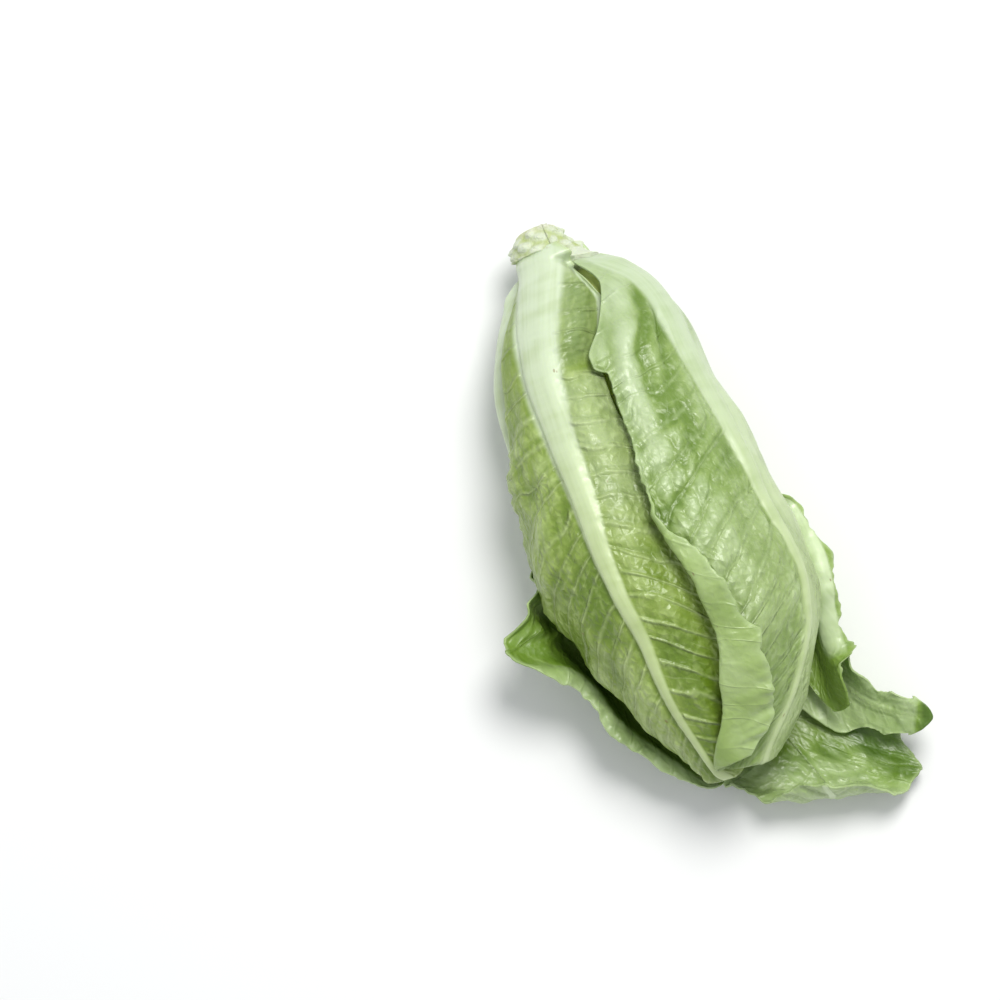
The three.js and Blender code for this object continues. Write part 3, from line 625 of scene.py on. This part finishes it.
def paleness_with_painted_shade_and_highlights(leaf, s, q):
    """Below 0 where the blade is deep green, 1 where it is as pale as the midrib. On some leaves it also
    holds painted shade, as deep green, and painted highlights, as pale.
    """
    beside = np.maximum(np.abs(q) - leaf.rib_width(s), 0)
    near = 0.4 * bell(beside, 4) * (1 - smooth(s, 60, 150))
    low = 0.7 * (1 - smooth(s - leaf.base, 4, 50))
    pale = np.maximum(near, low)
    if leaf.node == "leaf_front_right":
        pale = np.maximum(pale, smooth(q, -6, -1) * (1 - 0.15 * smooth(s, 110, 190)))
        # Painted shade and highlight: the valleys between the pleats are painted deep green, and the
        # raised outer pleat is painted pale.
        top = between(s, 20, 34, 84, 120) * smooth(-q, 3, 9)
        pale = mix(pale, 0.12 + 0.6 * pleats(s, q), top)
        # Painted sheen: the lower blade between the midrib and the flap is painted paler.
        pale = np.maximum(pale, 0.3 * between(s, 112, 135, 190, 205) * smooth(-q, 2, 8))
        margin = leaf.left_margin(s, q, 12, 3) * between(s, 16, 26, 52, 62)
        flap = smooth(s, 120, 132) * leaf.left_margin(s, q, 3, -3)
        pale = np.maximum(np.maximum(pale, 0.5 * margin), 0.22 * flap)
    if leaf.node == "leaf_front_left":
        hollow = front_left_hollow(leaf, s, q)[0]
        # Painted shade on the left of the midrib, the side turned away from the key light, and a little
        # painted light in the hollow right of the midrib, against the shadow the front right leaf casts
        # there.
        left = smooth(-q, 0.9 * leaf.rib_width(s), 1.5 * leaf.rib_width(s))
        pale = pale * (1 - hollow) * (1 - 0.8 * left) + 0.2 * hollow - 0.4 * left
        pale = np.maximum(pale, 0.42 * between(s, 54, 62, 95, 150) * smooth(q, 4, 9))
        # Painted shade: a deep green band inside the right margin, beside the folded flap.
        pale = pale - 0.7 * leaf.right_margin(s, q, 20, 6) * smooth(s, 100, 135)
        # Painted highlight: a pale strip just inside the right margin, around s = 86.
        pale = np.maximum(pale, 0.6 * leaf.right_margin(s, q, 7, 3) * bell(s - 86, 15))
        pale = np.maximum(pale, leaf.right_margin(s, q, 5.5, 3.5) * (1 - smooth(s, 46, 58)))
    if leaf.node == "leaf_right":
        outer = np.maximum(leaf.left_margin(s, q, 17, 9), 1 - smooth(s, 140, 165))
        pale = np.maximum(pale, 1.1 * outer * between(s, 100, 120, 184, 196))
        pale = pale - 0.5 * (1 - outer) - 0.5 * smooth(s, 188, 198)
        pale = pale - 1.7 * leaf.left_margin(s, q, 3.2, 1.4) * smooth(s, 90, 110)
        pale = np.maximum(pale, 1 - smooth(s, 30, 60))
    if leaf.node == "leaf_back_left":
        # A pale band inside the right margin, partly the paler outer side and partly painted light; past s
        # = 146 the rest of the blade gets painted shade as deep green, where it lies in the front left
        # leaf's shadow.
        pale = np.maximum(pale, 0.5 * leaf.right_margin(s, q, 12, 7) * smooth(s, 150, 165))
        pale = pale - 0.7 * smooth(s, 146, 160) * (1 - leaf.right_margin(s, q, 12, 8))
    if leaf.node == "leaf_under":
        # Painted shade: the part of the upturned tip under the back right leaf is painted deep green.
        painted_shade_under_tip = smooth(-q, 14, 28) * between(s, 200, 212, 232, 246)
        pale = np.maximum(pale, 0.42 * smooth(s, 216, 226)) - 1.1 * painted_shade_under_tip
    if leaf.node == "leaf_back_right":
        pale = np.maximum(pale, 0.5 * smooth(s, 188, 202)) - 1.6 * smooth(s, 238, 244)
    return pale


# ---- meshes
def head_origin():
    """Place in the frame of s = 0 on the axis at floor level, in mm, read off the CAD nodes."""
    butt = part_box("stem")[1].y / MM + STEM_BASE
    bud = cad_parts["heart_bud"].data.vertices
    sides = [v.co.x / MM for v in bud if abs(v.co.y / MM - (butt - BUD_TIP)) < 0.05]
    return np.array([sum(sides) / len(sides) - float(axis_side(BUD_TIP)), butt, 0.0])


ORIGIN = head_origin()


def add_object(name, data):
    holder = bpy.data.objects.new(name, data)
    bpy.context.scene.collection.objects.link(holder)
    return holder


def add_piece(node, points, faces, attributes, material):
    """A smooth mesh from points in mm, riding on the root body in place of its CAD node."""
    mesh = bpy.data.meshes.new(node + "_form")
    mesh.vertices.add(len(points))
    mesh.vertices.foreach_set("co", ((points + ORIGIN) * MM).astype(np.float32).ravel())
    totals = np.concatenate([np.full(len(block), block.shape[1]) for block in faces])
    loops = np.concatenate([block.ravel() for block in faces])
    mesh.loops.add(len(loops))
    mesh.loops.foreach_set("vertex_index", loops.astype(np.int32))
    mesh.polygons.add(len(totals))
    mesh.polygons.foreach_set("loop_start", (np.cumsum(totals) - totals).astype(np.int32))
    mesh.polygons.foreach_set("loop_total", totals.astype(np.int32))
    mesh.polygons.foreach_set("use_smooth", np.ones(len(totals), bool))
    for name, values in attributes.items():
        if values.ndim == 2:
            layer = mesh.attributes.new(name, "FLOAT_VECTOR", "POINT")
            layer.data.foreach_set("vector", values.astype(np.float32).ravel())
        else:
            layer = mesh.attributes.new(name, "FLOAT", "POINT")
            layer.data.foreach_set("value", values.astype(np.float32).ravel())
    mesh.update(calc_edges=True)
    mesh.validate()
    mesh.materials.append(material)
    piece = add_object(node + "_form", mesh)
    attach(piece, "root")
    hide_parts(node)


def grid_quads(first, rows, columns, flip):
    i, j = np.meshgrid(np.arange(rows - 1), np.arange(columns - 1), indexing="ij")
    corner = (first + i * columns + j).ravel()
    quads = np.stack([corner, corner + 1, corner + columns + 1, corner + columns], 1)
    return quads[:, ::-1] if flip else quads


def leaf_grid(leaf):
    """s and q of every vertex of the sheet, with ragged margins and a bowed tip."""
    rows, columns = leaf.grid
    share = np.linspace(0, 1, rows)
    s = leaf.base + (leaf.tip - leaf.base) * (share - 0.05 * np.sin(math.tau * share) / 2)
    left, right = leaf.ends(s)
    ragged = 0.4 * noise(s / 2.1, 0 * s + leaf.phase) * smooth(s, 60, 110)
    q = np.linspace(0, 1, columns) * (left + right + 2 * ragged)[:, None] - (left + ragged)[:, None]
    side = np.minimum(np.abs(q) / np.where(q < 0, left[:, None], right[:, None]), 1)
    end = (leaf.left(s) + leaf.right(s))[:, None]
    bow = leaf.bow * smooth(s, leaf.tip - 40, leaf.tip)[:, None]
    return s[:, None] - bow * np.minimum(np.abs(2 * q) / end, 1.2) ** 2, q, side


SLOPE_STEP = 0.4  # mm either way over which the direction of the sheet is measured
RIM_BULGE = 0.32  # how far the rim stands out, over the thickness of the sheet


def sheet_place(index, s, q):
    """Inner face, outward direction and how far that direction is square to the sheet."""
    leaf = LEAVES[index]
    face = inner_face(index, s, q)
    along = inner_face(index, s + SLOPE_STEP, q) - inner_face(index, s - SLOPE_STEP, q)
    over = inner_face(index, s, q + SLOPE_STEP) - inner_face(index, s, q - SLOPE_STEP)
    turned = leaf.turned_free(s)
    if leaf.folded:
        turned = np.maximum(turned, smooth(-q / leaf.left(s), 0.55, 0.9))
    angle = leaf.midrib(s) * RAD + q / leaf.spread(s)
    radial = np.stack([np.sin(angle), 0 * angle, np.cos(angle)], -1)
    out = unit(mix(radial, unit(np.cross(along, over)), turned[..., None]))
    return face, out, unit(over), turned


def rolled_place(index, s, q):
    """As sheet_place, with the margins that roll outwards laid round their radius."""
    leaf = LEAVES[index]
    kept = q
    radius = 1.0
    for side, first, last, width, tight in leaf.rolls:
        amount = between(s, first, first + 12, last - 12, last)
        limit = np.where(side > 0, leaf.right(s), leaf.left(s)) - width * amount
        kept = np.where(q * side > limit, limit * side, kept)
        radius = tight
    face, out, over, turned = sheet_place(index, s, kept)
    past = q - kept
    turn = np.abs(past) / radius
    ahead = over * np.sign(past)[..., None]
    face = face + radius * (ahead * np.sin(turn)[..., None] + out * (1 - np.cos(turn))[..., None])
    out = out * np.cos(turn)[..., None] - ahead * np.sin(turn)[..., None]
    return face, out, turned


def sheet_border(rows, columns):
    """Vertex numbers round the margin of a grid, in order."""
    return np.concatenate([
        np.arange(columns - 1), columns - 1 + columns * np.arange(rows - 1),
        rows * columns - 1 - np.arange(columns - 1),
        (rows - 1) * columns - columns * np.arange(rows - 1),
    ])


def leaf_piece(index, material):
    leaf = LEAVES[index]
    rows, columns = leaf.grid
    s, q, side = leaf_grid(leaf)
    face, out, turned = rolled_place(index, s, q)
    round_end = np.maximum(1 - (s - leaf.base) / 5, 0)
    thickness = leaf.thickness(s, q) + leaf.proud(s) * leaf.rib_shape(s, q)
    thickness = thickness * (1 - 0.75 * round_end ** 2) * mix(slant(s), 1, turned)

    angle = leaf.midrib(s) * RAD + q / leaf.spread(s)
    uncovered = stack_depth(LEAVES[:index], s, angle)[1]
    height = relief(leaf, s, q, side)
    if leaf.node in SPECIAL_FORMS:
        height = height + SPECIAL_FORMS[leaf.node](leaf, s, q)
    height = height * (0.25 + 0.75 * uncovered) * smooth(s, leaf.base, leaf.base + 8)
    height = height + frilled(leaf, s, side) * np.maximum(uncovered ** 2, turned)
    face = face + out * height[..., None]
    skin = face + out * thickness[..., None]
    face[..., 2] = np.maximum(face[..., 2], 0)
    skin[..., 2] = np.maximum(skin[..., 2], BLADE * 0.7)

    border = sheet_border(rows, columns)
    middle = (face + skin) / 2
    inside = middle.copy()
    inside[0] = middle[1]
    inside[-1] = middle[-2]
    inside[:, 0] = middle[:, 1]
    inside[:, -1] = middle[:, -2]
    margin = middle.reshape(-1, 3)[border]
    outwards = unit(margin - inside.reshape(-1, 3)[border])
    rim = margin + outwards * RIM_BULGE * thickness.ravel()[border][:, None]

    count = rows * columns
    following = np.roll(border, -1)
    rim_first = 2 * count + np.arange(len(border))
    rim_next = np.roll(rim_first, -1)
    quads = np.concatenate([
        grid_quads(0, rows, columns, False), grid_quads(count, rows, columns, True),
        np.stack([border, rim_first, rim_next, following], 1),
        np.stack([rim_first, border + count, following + count, rim_next], 1),
    ])
    points = np.concatenate([face.reshape(-1, 3), skin.reshape(-1, 3), rim])

    def both(values, outside=None):
        flat = np.broadcast_to(values, (rows, columns)).ravel()
        other = flat if outside is None else np.broadcast_to(outside, (rows, columns)).ravel()
        return np.concatenate([flat, other, flat[border]])

    run, away = vein_net(leaf, s, q)
    number = 0 * s + 10 * leaf.phase
    width = leaf.whole_width(s, q)
    attributes = {
        "rib": both(leaf.rib_shape(s, q * 0.82)),
        # pale holds the leaf's own paleness and, on some leaves, painted shade and painted highlights.
        "pale": both(paleness_with_painted_shade_and_highlights(leaf, s, q)),
        # puff is the height of the fine form; the material paints shade in its low places and highlights
        # on its high ones.
        "puff": both(height),
        "edge": both(smooth((1 - side) * width, 2.4, 0)),
        "along": both((s - leaf.base) / (leaf.tip - leaf.base)),
        "outside": both(0 * s, 1 + 0 * s),
        "leaf": np.stack([both(s), both(q), both(number)], 1),
        "net": np.stack([both(run * VEIN_SPACING), both(away), both(number)], 1),
    }
    add_piece(leaf.node, points, [quads], attributes, material)


# ---- stem and heart bud: rings round the axis
def core_depth(s, angle):
    return stack_depth(LEAVES, s, angle, 2.4)[0] + STEM_GAP


cap_radius = curve([
    (-5, 4), (-4.7, 6.6), (-3.8, 9.2), (-2, 11.4), (0, 13), (2, 14), (6, 15.6), (11, 17.5), (16, 24),
])
DOME = -5
KNOB_COUNT = 36
KNOB_TURN = 2.4  # radians from one knob to the next
KNOB_STEP = 0.34  # mm down the butt from one knob to the next
BUTT_RADIUS = 13
cut_away = curve([(-4, 8), (2, 8), (8, 6), (11, 4.5), (16, 0)])
core_limit = curve([(0, 30), (14, 15), (30, 11.5), (44, 8), (STEM_TOP, 3.5)])
bud_limit = curve([(BUD_BASE, 3), (66, 9), (90, 14), (120, 15), (142, 9), (BUD_TIP, 2.4)])


def scar_height(s, angle):
    """Knobs left where the outermost leaves were cut away, set round the butt in a spiral."""
    height = 0 * s
    for k in range(KNOB_COUNT):
        past = angle - k * KNOB_TURN
        turn = np.arctan2(np.sin(past), np.cos(past)) * BUTT_RADIUS
        along = s + 4.2 - KNOB_STEP * k
        wide = 2.7 + 1.2 * LATTICE[k, 4]
        sideways = (np.abs(turn + 0.4 * along) / wide) ** 2.4
        knob = np.exp(-sideways - (np.abs(along - 0.2 * turn) / 1.6) ** 2.2)
        height = np.maximum(height, (2.1 + 0.9 * LATTICE[k, 9]) * knob)
    return height


def stem_radius(s, angle):
    inside = head_radius(s) - core_depth(s, angle)
    filled = 5 + 9.5 * smooth(np.sin(angle), 0.22, 0.42)
    inside = mix(head_radius(s) - 0.2, inside, smooth(s - filled, 0, 2.5))
    rightward = (0.5 + 0.5 * np.sin(angle)) ** 2
    cap = cap_radius(s) - cut_away(s) * rightward + scar_height(s, angle)
    radius = np.maximum(np.minimum(np.minimum(inside, cap), core_limit(s)), 2)
    rough = noise(s / 1.7, angle * 5) * 0.5 + noise(s / 0.8 + 9, angle * 11) * 0.3
    return radius + rough * (1 - smooth(s, 8, 12)) * smooth(s, DOME, DOME + 1)


def bud_radius(s, angle):
    fold = 1 + 0.1 * np.sin(3 * angle + s / 22) * smooth(s, BUD_BASE, 80)
    inside = head_radius(s) - core_depth(s, angle) - 0.5
    radius = np.maximum(np.minimum(inside, bud_limit(s) * fold), 1.6)
    crumple = 0.5 * noise(s / 9, angle * 4) * smooth(s, 60, 80)
    return radius + crumple - 0.4 * bell(np.sin(1.5 * angle + s / 40), 0.12)


def ring_piece(node, levels, count, radius, material):
    s, angle = np.meshgrid(levels, math.tau * np.arange(count) / count, indexing="ij")
    reach = radius(s, angle)
    points = shell_point(s, angle, head_radius(s) - reach)
    first = points[0].mean(0)
    last = points[-1].mean(0)
    rows = len(levels)
    i, k = np.meshgrid(np.arange(rows - 1), np.arange(count), indexing="ij")
    a = (i * count + k).ravel()
    b = (i * count + (k + 1) % count).ravel()
    quads = np.stack([a, a + count, b + count, b], 1)
    ends = rows * count
    k = np.arange(count)
    after = (k + 1) % count
    top = (rows - 1) * count
    fans = np.concatenate([
        np.stack([0 * k + ends, k, after], 1), np.stack([0 * k + ends + 1, top + after, top + k], 1),
    ])
    points = np.concatenate([points.reshape(-1, 3), [first, last]])
    flat_s = np.concatenate([s.ravel(), [levels[0], levels[-1]]])
    flat_angle = np.concatenate([angle.ravel(), [0, 0]])
    cut = np.concatenate([0 * s.ravel(), [1, 0]])
    attributes = {
        "along": (flat_s - levels[0]) / (levels[-1] - levels[0]),
        "cut": np.maximum(cut, smooth(-flat_s, 1, 4)),
        "knob": np.concatenate([(scar_height(s, angle) + 2 * smooth(s, 7, 10)).ravel(), [0.6, 0.6]]),
        "leaf": np.stack([flat_s, flat_angle * 12, 0 * flat_s], 1),
    }
    add_piece(node, points, [quads, fans], attributes, material)


# ---- materials
def linear(red, green, blue):
    """A colour given in 0 to 255 screen values, for a shader."""
    parts = [value / 255 for value in (red, green, blue)]
    return tuple(v / 12.92 if v < 0.04045 else ((v + 0.055) / 1.055) ** 2.4 for v in parts) + (1,)


class Shader:
    """Short names for the nodes of one material."""

    def __init__(self, name):
        self.material = bpy.data.materials.new(name)
        self.material.use_nodes = True
        self.tree = self.material.node_tree
        self.principled = self.tree.nodes["Principled BSDF"]
        self.colour = None

    def link(self, value, socket):
        if isinstance(value, bpy.types.NodeSocket):
            self.tree.links.new(value, socket)
        else:
            socket.default_value = value

    def node(self, kind, *values, **settings):
        """A new node with these settings, and with the values at its first inputs."""
        node = self.tree.nodes.new("ShaderNode" + kind)
        for name, setting in settings.items():
            setattr(node, name, setting)
        for value, socket in zip(values, node.inputs):
            self.link(value, socket)
        return node

    def attribute(self, name, output="Fac"):
        return self.node("Attribute", attribute_name=name).outputs[output]

    def math(self, operation, a, b=0, clamp=False):
        return self.node("Math", a, b, operation=operation, use_clamp=clamp).outputs[0]

    def times(self, a, b):
        return self.math("MULTIPLY", a, b)

    def plus(self, a, b):
        return self.math("ADD", a, b)

    def stripes(self, value, spacing):
        """Distance to the nearest multiple of the spacing."""
        return self.times(self.math("PINGPONG", self.math("DIVIDE", value, spacing), 0.5), spacing)

    def span(self, value, low, high, to_low=0, to_high=1):
        values = (value, low, high, to_low, to_high)
        return self.node("MapRange", *values, interpolation_type="SMOOTHSTEP").outputs[0]

    def mix(self, factor, a, b):
        node = self.node("Mix", factor, data_type="RGBA")
        self.link(a, node.inputs[6])
        self.link(b, node.inputs[7])
        return node.outputs[2]

    def tint(self, amount, colour):
        """Lays a colour over what is there, by an amount from 0 to 1."""
        self.colour = self.mix(amount, self.colour, colour)

    def total(self, *parts):
        """Sum of values, each times its weight."""
        return reduce(self.plus, [self.times(value, weight) for value, weight in parts])

    def part(self, vector, axis):
        return self.node("SeparateXYZ", vector).outputs[axis]

    def texture(self, kind, vector, sizes, **settings):
        """A texture node whose features are as large as the sizes say."""
        scaled = self.node("VectorMath", vector, sizes, operation="DIVIDE").outputs[0]
        node = self.node(kind, scaled, **settings)
        node.inputs["Scale"].default_value = 1
        return node

    def noise(self, vector, sizes, detail=2):
        node = self.texture("TexNoise", vector, sizes)
        node.inputs["Detail"].default_value = detail
        return node.outputs["Fac"]

    def cells(self, vector, sizes, feature="DISTANCE_TO_EDGE"):
        return self.texture("TexVoronoi", vector, sizes, feature=feature).outputs["Distance"]

    def bump(self, height, distance, strength):
        node = self.node("Bump")
        node.inputs["Strength"].default_value = strength
        node.inputs["Distance"].default_value = distance
        self.link(height, node.inputs["Height"])
        return node.outputs[0]

    def finish(self, roughness, normal, subsurface=0.12, level=0.5):
        shader = self.principled.inputs
        self.link(self.colour, shader["Base Color"])
        self.link(roughness, shader["Roughness"])
        self.link(normal, shader["Normal"])
        shader["Subsurface Weight"].default_value = subsurface
        shader["Subsurface Radius"].default_value = (0.8, 1, 0.35)
        shader["Subsurface Scale"].default_value = 0.0018
        shader["Specular IOR Level"].default_value = level
        return self.material


def leaf_material(name, colours, vein_amount, vein_relief):
    """Blade in three greens, veins, a fine net of cells, pale midrib, specks and a thin rim, with painted
    shade in the hollows and beside the veins and painted highlights on the bulges.
    """
    blade, light, deep, inside, rib_top, rib_low, veins = (linear(*one) for one in colours)
    m = Shader(name)
    place = m.attribute("leaf", "Vector")
    net = m.attribute("net", "Vector")
    run = m.part(net, "X")
    outside = m.attribute("outside")
    rib = m.times(m.attribute("rib"), outside)
    along = m.attribute("along")
    # pale holds the leaf's own paleness and, on some leaves, painted shade and painted highlights.
    pale = m.attribute("pale")
    broad = m.noise(place, (30, 20, 1))
    patch = m.noise(net, (8, 6, 1), 1.5)
    grain = m.noise(place, (1.3, 1.3, 1))

    # Painted shade and painted highlight: low places of the fine form are painted deep green and high ones
    # light green, mixed with random tone from the noises.
    raised = m.plus(m.span(m.attribute("puff"), -1.1, 1.3), m.times(patch, 0.7))
    raised = m.plus(raised, m.times(broad, 1.2))
    m.colour = m.mix(m.span(raised, 0.75, 1.6), deep, blade)
    m.tint(m.span(raised, 1.35, 2.2, 0, 0.8), light)

    warp = m.noise(place, (9, 9, 1))
    lateral = m.stripes(run, VEIN_SPACING)
    second = m.stripes(m.plus(run, m.times(warp, 3)), MINOR_SPACING)
    vein_width = m.span(m.part(net, "Y"), 4, 45, 1.5, 0.7)
    main = m.span(m.math("DIVIDE", lateral, vein_width), 0, 1, 1, 0)
    main = m.times(main, m.span(patch, 0.3, 0.6, 0.35, 1))
    minor = m.times(m.span(second, 0, 0.55, 1, 0), m.span(patch, 0.4, 0.65, 0, 0.5))
    cells = m.cells(place, (3.9, 3.3, 1))
    grown = m.times(m.span(along, 0.18, 0.3), m.span(outside, 0, 1, 0.25, 1))
    shade = m.span(m.stripes(m.plus(run, 1.9), VEIN_SPACING), 0, 1.1, 0.5, 0)
    m.tint(m.times(m.times(shade, grown), m.span(patch, 0.3, 0.5)), deep)
    # Painted shade: the edges of the cells, the hollows of the bump, are painted deep green.
    hollows = m.times(m.span(cells, 0, 0.2, 0.3, 0), m.span(broad, 0.3, 0.6, 0.3, 1))
    m.tint(m.times(hollows, grown), deep)
    # Painted highlight: the middles of the cells, the domes of the bump, are painted light green.
    painted_dome_highlights = m.times(m.span(cells, 0.1, 0.55, 0, 0.35), m.span(patch, 0.35, 0.65))
    m.tint(m.times(painted_dome_highlights, grown), light)
    lines = m.times(m.math("MAXIMUM", main, minor), grown)
    m.tint(m.times(lines, vein_amount), veins)
    mottle = m.noise(place, (4.6, 3.4, 1), 2.5)
    m.tint(m.span(mottle, 0.5, 0.72, 0, 0.3), light)
    m.tint(m.span(mottle, 0.48, 0.3, 0, 0.3), deep)
    m.tint(m.span(grain, 0.35, 0.75, 0, 0.14), deep)
    m.tint(m.span(outside, 0.2, 0.8, 0.45, 0), inside)

    soft = m.noise(place, (8, 26, 1))
    streak = m.noise(place, (34, 1.6, 1), 1)
    pale_colour = m.mix(m.span(along, 0.05, 0.8), rib_top, rib_low)
    band = m.total((soft, 0.8), (streak, 0.4))
    pale_colour = m.mix(m.span(band, 0.5, 0.85, 0, 0.32), pale_colour, blade)
    pale = m.plus(pale, m.times(m.span(broad, 0.35, 0.65, -0.3, 0.25), pale))
    # Below 0, pale paints deep green; this applies the painted shade held in pale.
    m.tint(m.math("MULTIPLY", pale, -1, clamp=True), deep)
    m.tint(m.math("MULTIPLY", pale, 0.85, clamp=True), pale_colour)
    narrow = m.math("SUBTRACT", rib, m.span(along, 0.3, 0.8, 0, 0.4))
    m.tint(m.span(narrow, 0.08, 0.5), pale_colour)
    m.tint(m.times(m.attribute("edge"), 0.4), light)
    spots = m.cells(place, (9, 4.5, 1), "F1")
    rare = m.span(m.noise(place, (14, 11, 1), 1), 0.58, 0.63)
    speck = m.times(m.span(spots, 0.06, 0.1, 0.6, 0), rare)
    m.tint(speck, linear(128, 104, 56))

    fold = m.noise(place, (7, 5, 1), 1)
    bulge = m.times(m.span(cells, 0, 0.6), m.span(along, 0.1, 0.5, 0.2, 1))
    tiny = m.cells(place, (1.5, 1.3, 1))
    parts = (bulge, 0.85), (fold, 0.7), (main, vein_relief), (tiny, 0.12), (grain, 0.12)
    blade_form = m.times(m.total(*parts), m.span(outside, 0, 1, 0.45, 1))
    rib_form = m.total((streak, 0.15), (soft, 0.8))
    smoothed = m.math("MAXIMUM", m.span(rib, 0.2, 0.7), m.span(pale, 0.5, 1, 0, 0.85))
    surface = m.mix(smoothed, blade_form, rib_form)
    normal = m.bump(surface, 0.0008, 0.9)
    roughness = m.span(m.plus(grain, patch), 0.6, 1.3, 0.29, 0.45)
    return m.finish(roughness, normal, level=0.6)


def stem_material():
    """Cut butt: whitish knobs, yellow-green hollows between them, and small browned scars."""
    m = Shader("romaine_stem")
    place = m.attribute("leaf", "Vector")
    cut = m.attribute("cut")
    lump = m.noise(place, (3.2, 3.4, 1), 3)
    grain = m.noise(place, (0.6, 0.7, 1), 3)
    proud = m.plus(m.attribute("knob"), m.times(lump, 1.6))
    m.colour = m.mix(m.span(proud, 0.5, 1.9), linear(178, 194, 122), linear(210, 219, 194))
    m.tint(m.span(grain, 0.5, 0.8, 0, 0.4), linear(200, 200, 146))
    brown = m.times(m.span(lump, 0.64, 0.72), m.span(grain, 0.54, 0.66))
    m.tint(brown, linear(138, 98, 52))
    m.tint(m.times(cut, 0.35), linear(220, 216, 184))
    normal = m.bump(m.plus(grain, m.times(lump, 0.8)), 0.0006, 0.9)
    return m.finish(m.span(grain, 0.3, 0.7, 0.42, 0.6), normal)


def bud_material():
    """The smallest leaves: pale yellow with faint lengthwise folds."""
    m = Shader("romaine_bud")
    place = m.attribute("leaf", "Vector")
    folds = m.noise(place, (26, 3, 1), 4)
    grain = m.noise(place, (1.2, 1.2, 1), 3)
    m.colour = m.mix(m.span(folds, 0.35, 0.68), linear(196, 205, 112), linear(232, 234, 176))
    m.tint(m.span(m.attribute("along"), 0.5, 1, 0, 0.6), linear(168, 186, 84))
    normal = m.bump(m.plus(folds, m.times(grain, 0.4)), 0.0006, 0.8)
    return m.finish(m.span(grain, 0.3, 0.7, 0.36, 0.5), normal)


RIB_TOP = (204, 218, 188)
RIB_LOW = (190, 207, 148)
FRONT_LEFT = leaf_material("romaine_front_left_leaf", (
    (136, 160, 68), (180, 200, 128), (98, 126, 28), (134, 160, 70), RIB_TOP, RIB_LOW,
    (188, 206, 144)), 0.45, 0.9)
FRONT_RIGHT = leaf_material("romaine_front_right_leaf", (
    (136, 162, 84), (180, 200, 150), (96, 126, 38), (150, 178, 88), (190, 206, 172),
    (190, 207, 154), (176, 198, 142)), 0.35, 0.5)
LOOSE = leaf_material("romaine_loose_leaf", (
    (138, 166, 80), (188, 208, 152), (78, 110, 22), (126, 158, 58), RIB_TOP, (204, 220, 178),
    (178, 200, 132)), 0.4, 0.6)
INNER = leaf_material("romaine_inner_leaf", (
    (196, 214, 84), (214, 228, 128), (146, 176, 38), (204, 220, 92), (214, 228, 136),
    (196, 214, 104), (206, 220, 122)), 0.4, 0.5)


# ---- camera, lights and floor
IMAGE_WIDTH = 1000
SENSOR_WIDTH = 36
PIXEL = 0.379 * MM  # size on the object of one pixel of the photograph
TURN = Vector((0.94, -0.342, 0.0))  # to the right in the photograph
UPWARDS = Vector((0.342, 0.94, 0.0))  # up in the photograph
ELEVATION = 84 * RAD
DISTANCE = 3.2  # metres from the camera to the target
VIEW_CENTRE = (-51.54, -90.2, 40)  # what the middle of the photograph shows, from ORIGIN
TARGET = Vector(ORIGIN + VIEW_CENTRE) * MM


def add_camera():
    camera = bpy.data.cameras.new("camera")
    camera.sensor_width = SENSOR_WIDTH
    camera.lens = SENSOR_WIDTH * DISTANCE / (IMAGE_WIDTH * PIXEL)
    camera.clip_end = 20
    back = -UPWARDS.normalized() * math.cos(ELEVATION) + Vector((0, 0, math.sin(ELEVATION)))
    right = TURN.normalized()
    up = back.cross(right)
    holder = add_object("camera", camera)
    rotation = Matrix((right, up, back)).transposed().to_4x4()
    holder.matrix_world = Matrix.Translation(TARGET + back * DISTANCE) @ rotation
    bpy.context.scene.camera = holder


def add_area(name, place, size, energy, colour):
    light = bpy.data.lights.new(name, "AREA")
    light.shape = "DISK"
    light.size = size
    light.energy = energy
    light.color = colour
    holder = add_object(name, light)
    aim = Vector((0, 0, 0.03)) - place
    holder.location = place
    holder.rotation_euler = aim.to_track_quat("-Z", "Y").to_euler()


def add_floor():
    mesh = bpy.data.meshes.new("floor")
    half = 3.0
    corners = [(-half, -half, 0), (half, -half, 0), (half, half, 0), (-half, half, 0)]
    mesh.from_pydata(corners, [], [(0, 1, 2, 3)])
    m = Shader("pale_floor")
    coordinates = m.tree.nodes.new("ShaderNodeTexCoord").outputs["Object"]
    tone = m.noise(coordinates, (0.4, 0.4, 0.4))
    m.colour = m.mix(tone, (0.86, 0.87, 0.88, 1), (0.9, 0.9, 0.9, 1))
    m.finish(0.85, m.bump(tone, 0.0001, 0.1), subsurface=0, level=0.1)
    mesh.materials.append(m.material)
    floor = add_object("floor", mesh)


def add_light():
    world = bpy.data.worlds.new("studio")
    world.use_nodes = True
    background = world.node_tree.nodes["Background"]
    background.inputs["Color"].default_value = (0.96, 0.98, 1.0, 1)
    background.inputs["Strength"].default_value = 0.58
    bpy.context.scene.world = world
    upper_right = (TURN * 0.4 + UPWARDS).normalized()
    add_area("key", upper_right * 0.65 + Vector((0, 0, 1.45)), 0.7, 19, (1.0, 0.99, 0.96))
    add_area("fill", -TURN * 1.1 + Vector((0, 0, 1.4)), 1.2, 1.2, (0.95, 0.98, 1.0))


scene = bpy.context.scene
scene.view_settings.view_transform = "Standard"
add_camera()
add_light()
add_floor()

# ---- the pieces
for number, one in enumerate(LEAVES):
    own = INNER if one.inner else LOOSE if one.free else FRONT_LEFT
    leaf_piece(number, FRONT_RIGHT if one.node == "leaf_front_right" else own)

stem_levels = np.concatenate([np.linspace(DOME, 15, 80), np.linspace(16, STEM_TOP, 16)])
ring_piece("stem", stem_levels, 150, stem_radius, stem_material())
ring_piece("heart_bud", np.linspace(BUD_BASE, BUD_TIP, 70), 80, bud_radius,
           bud_material())
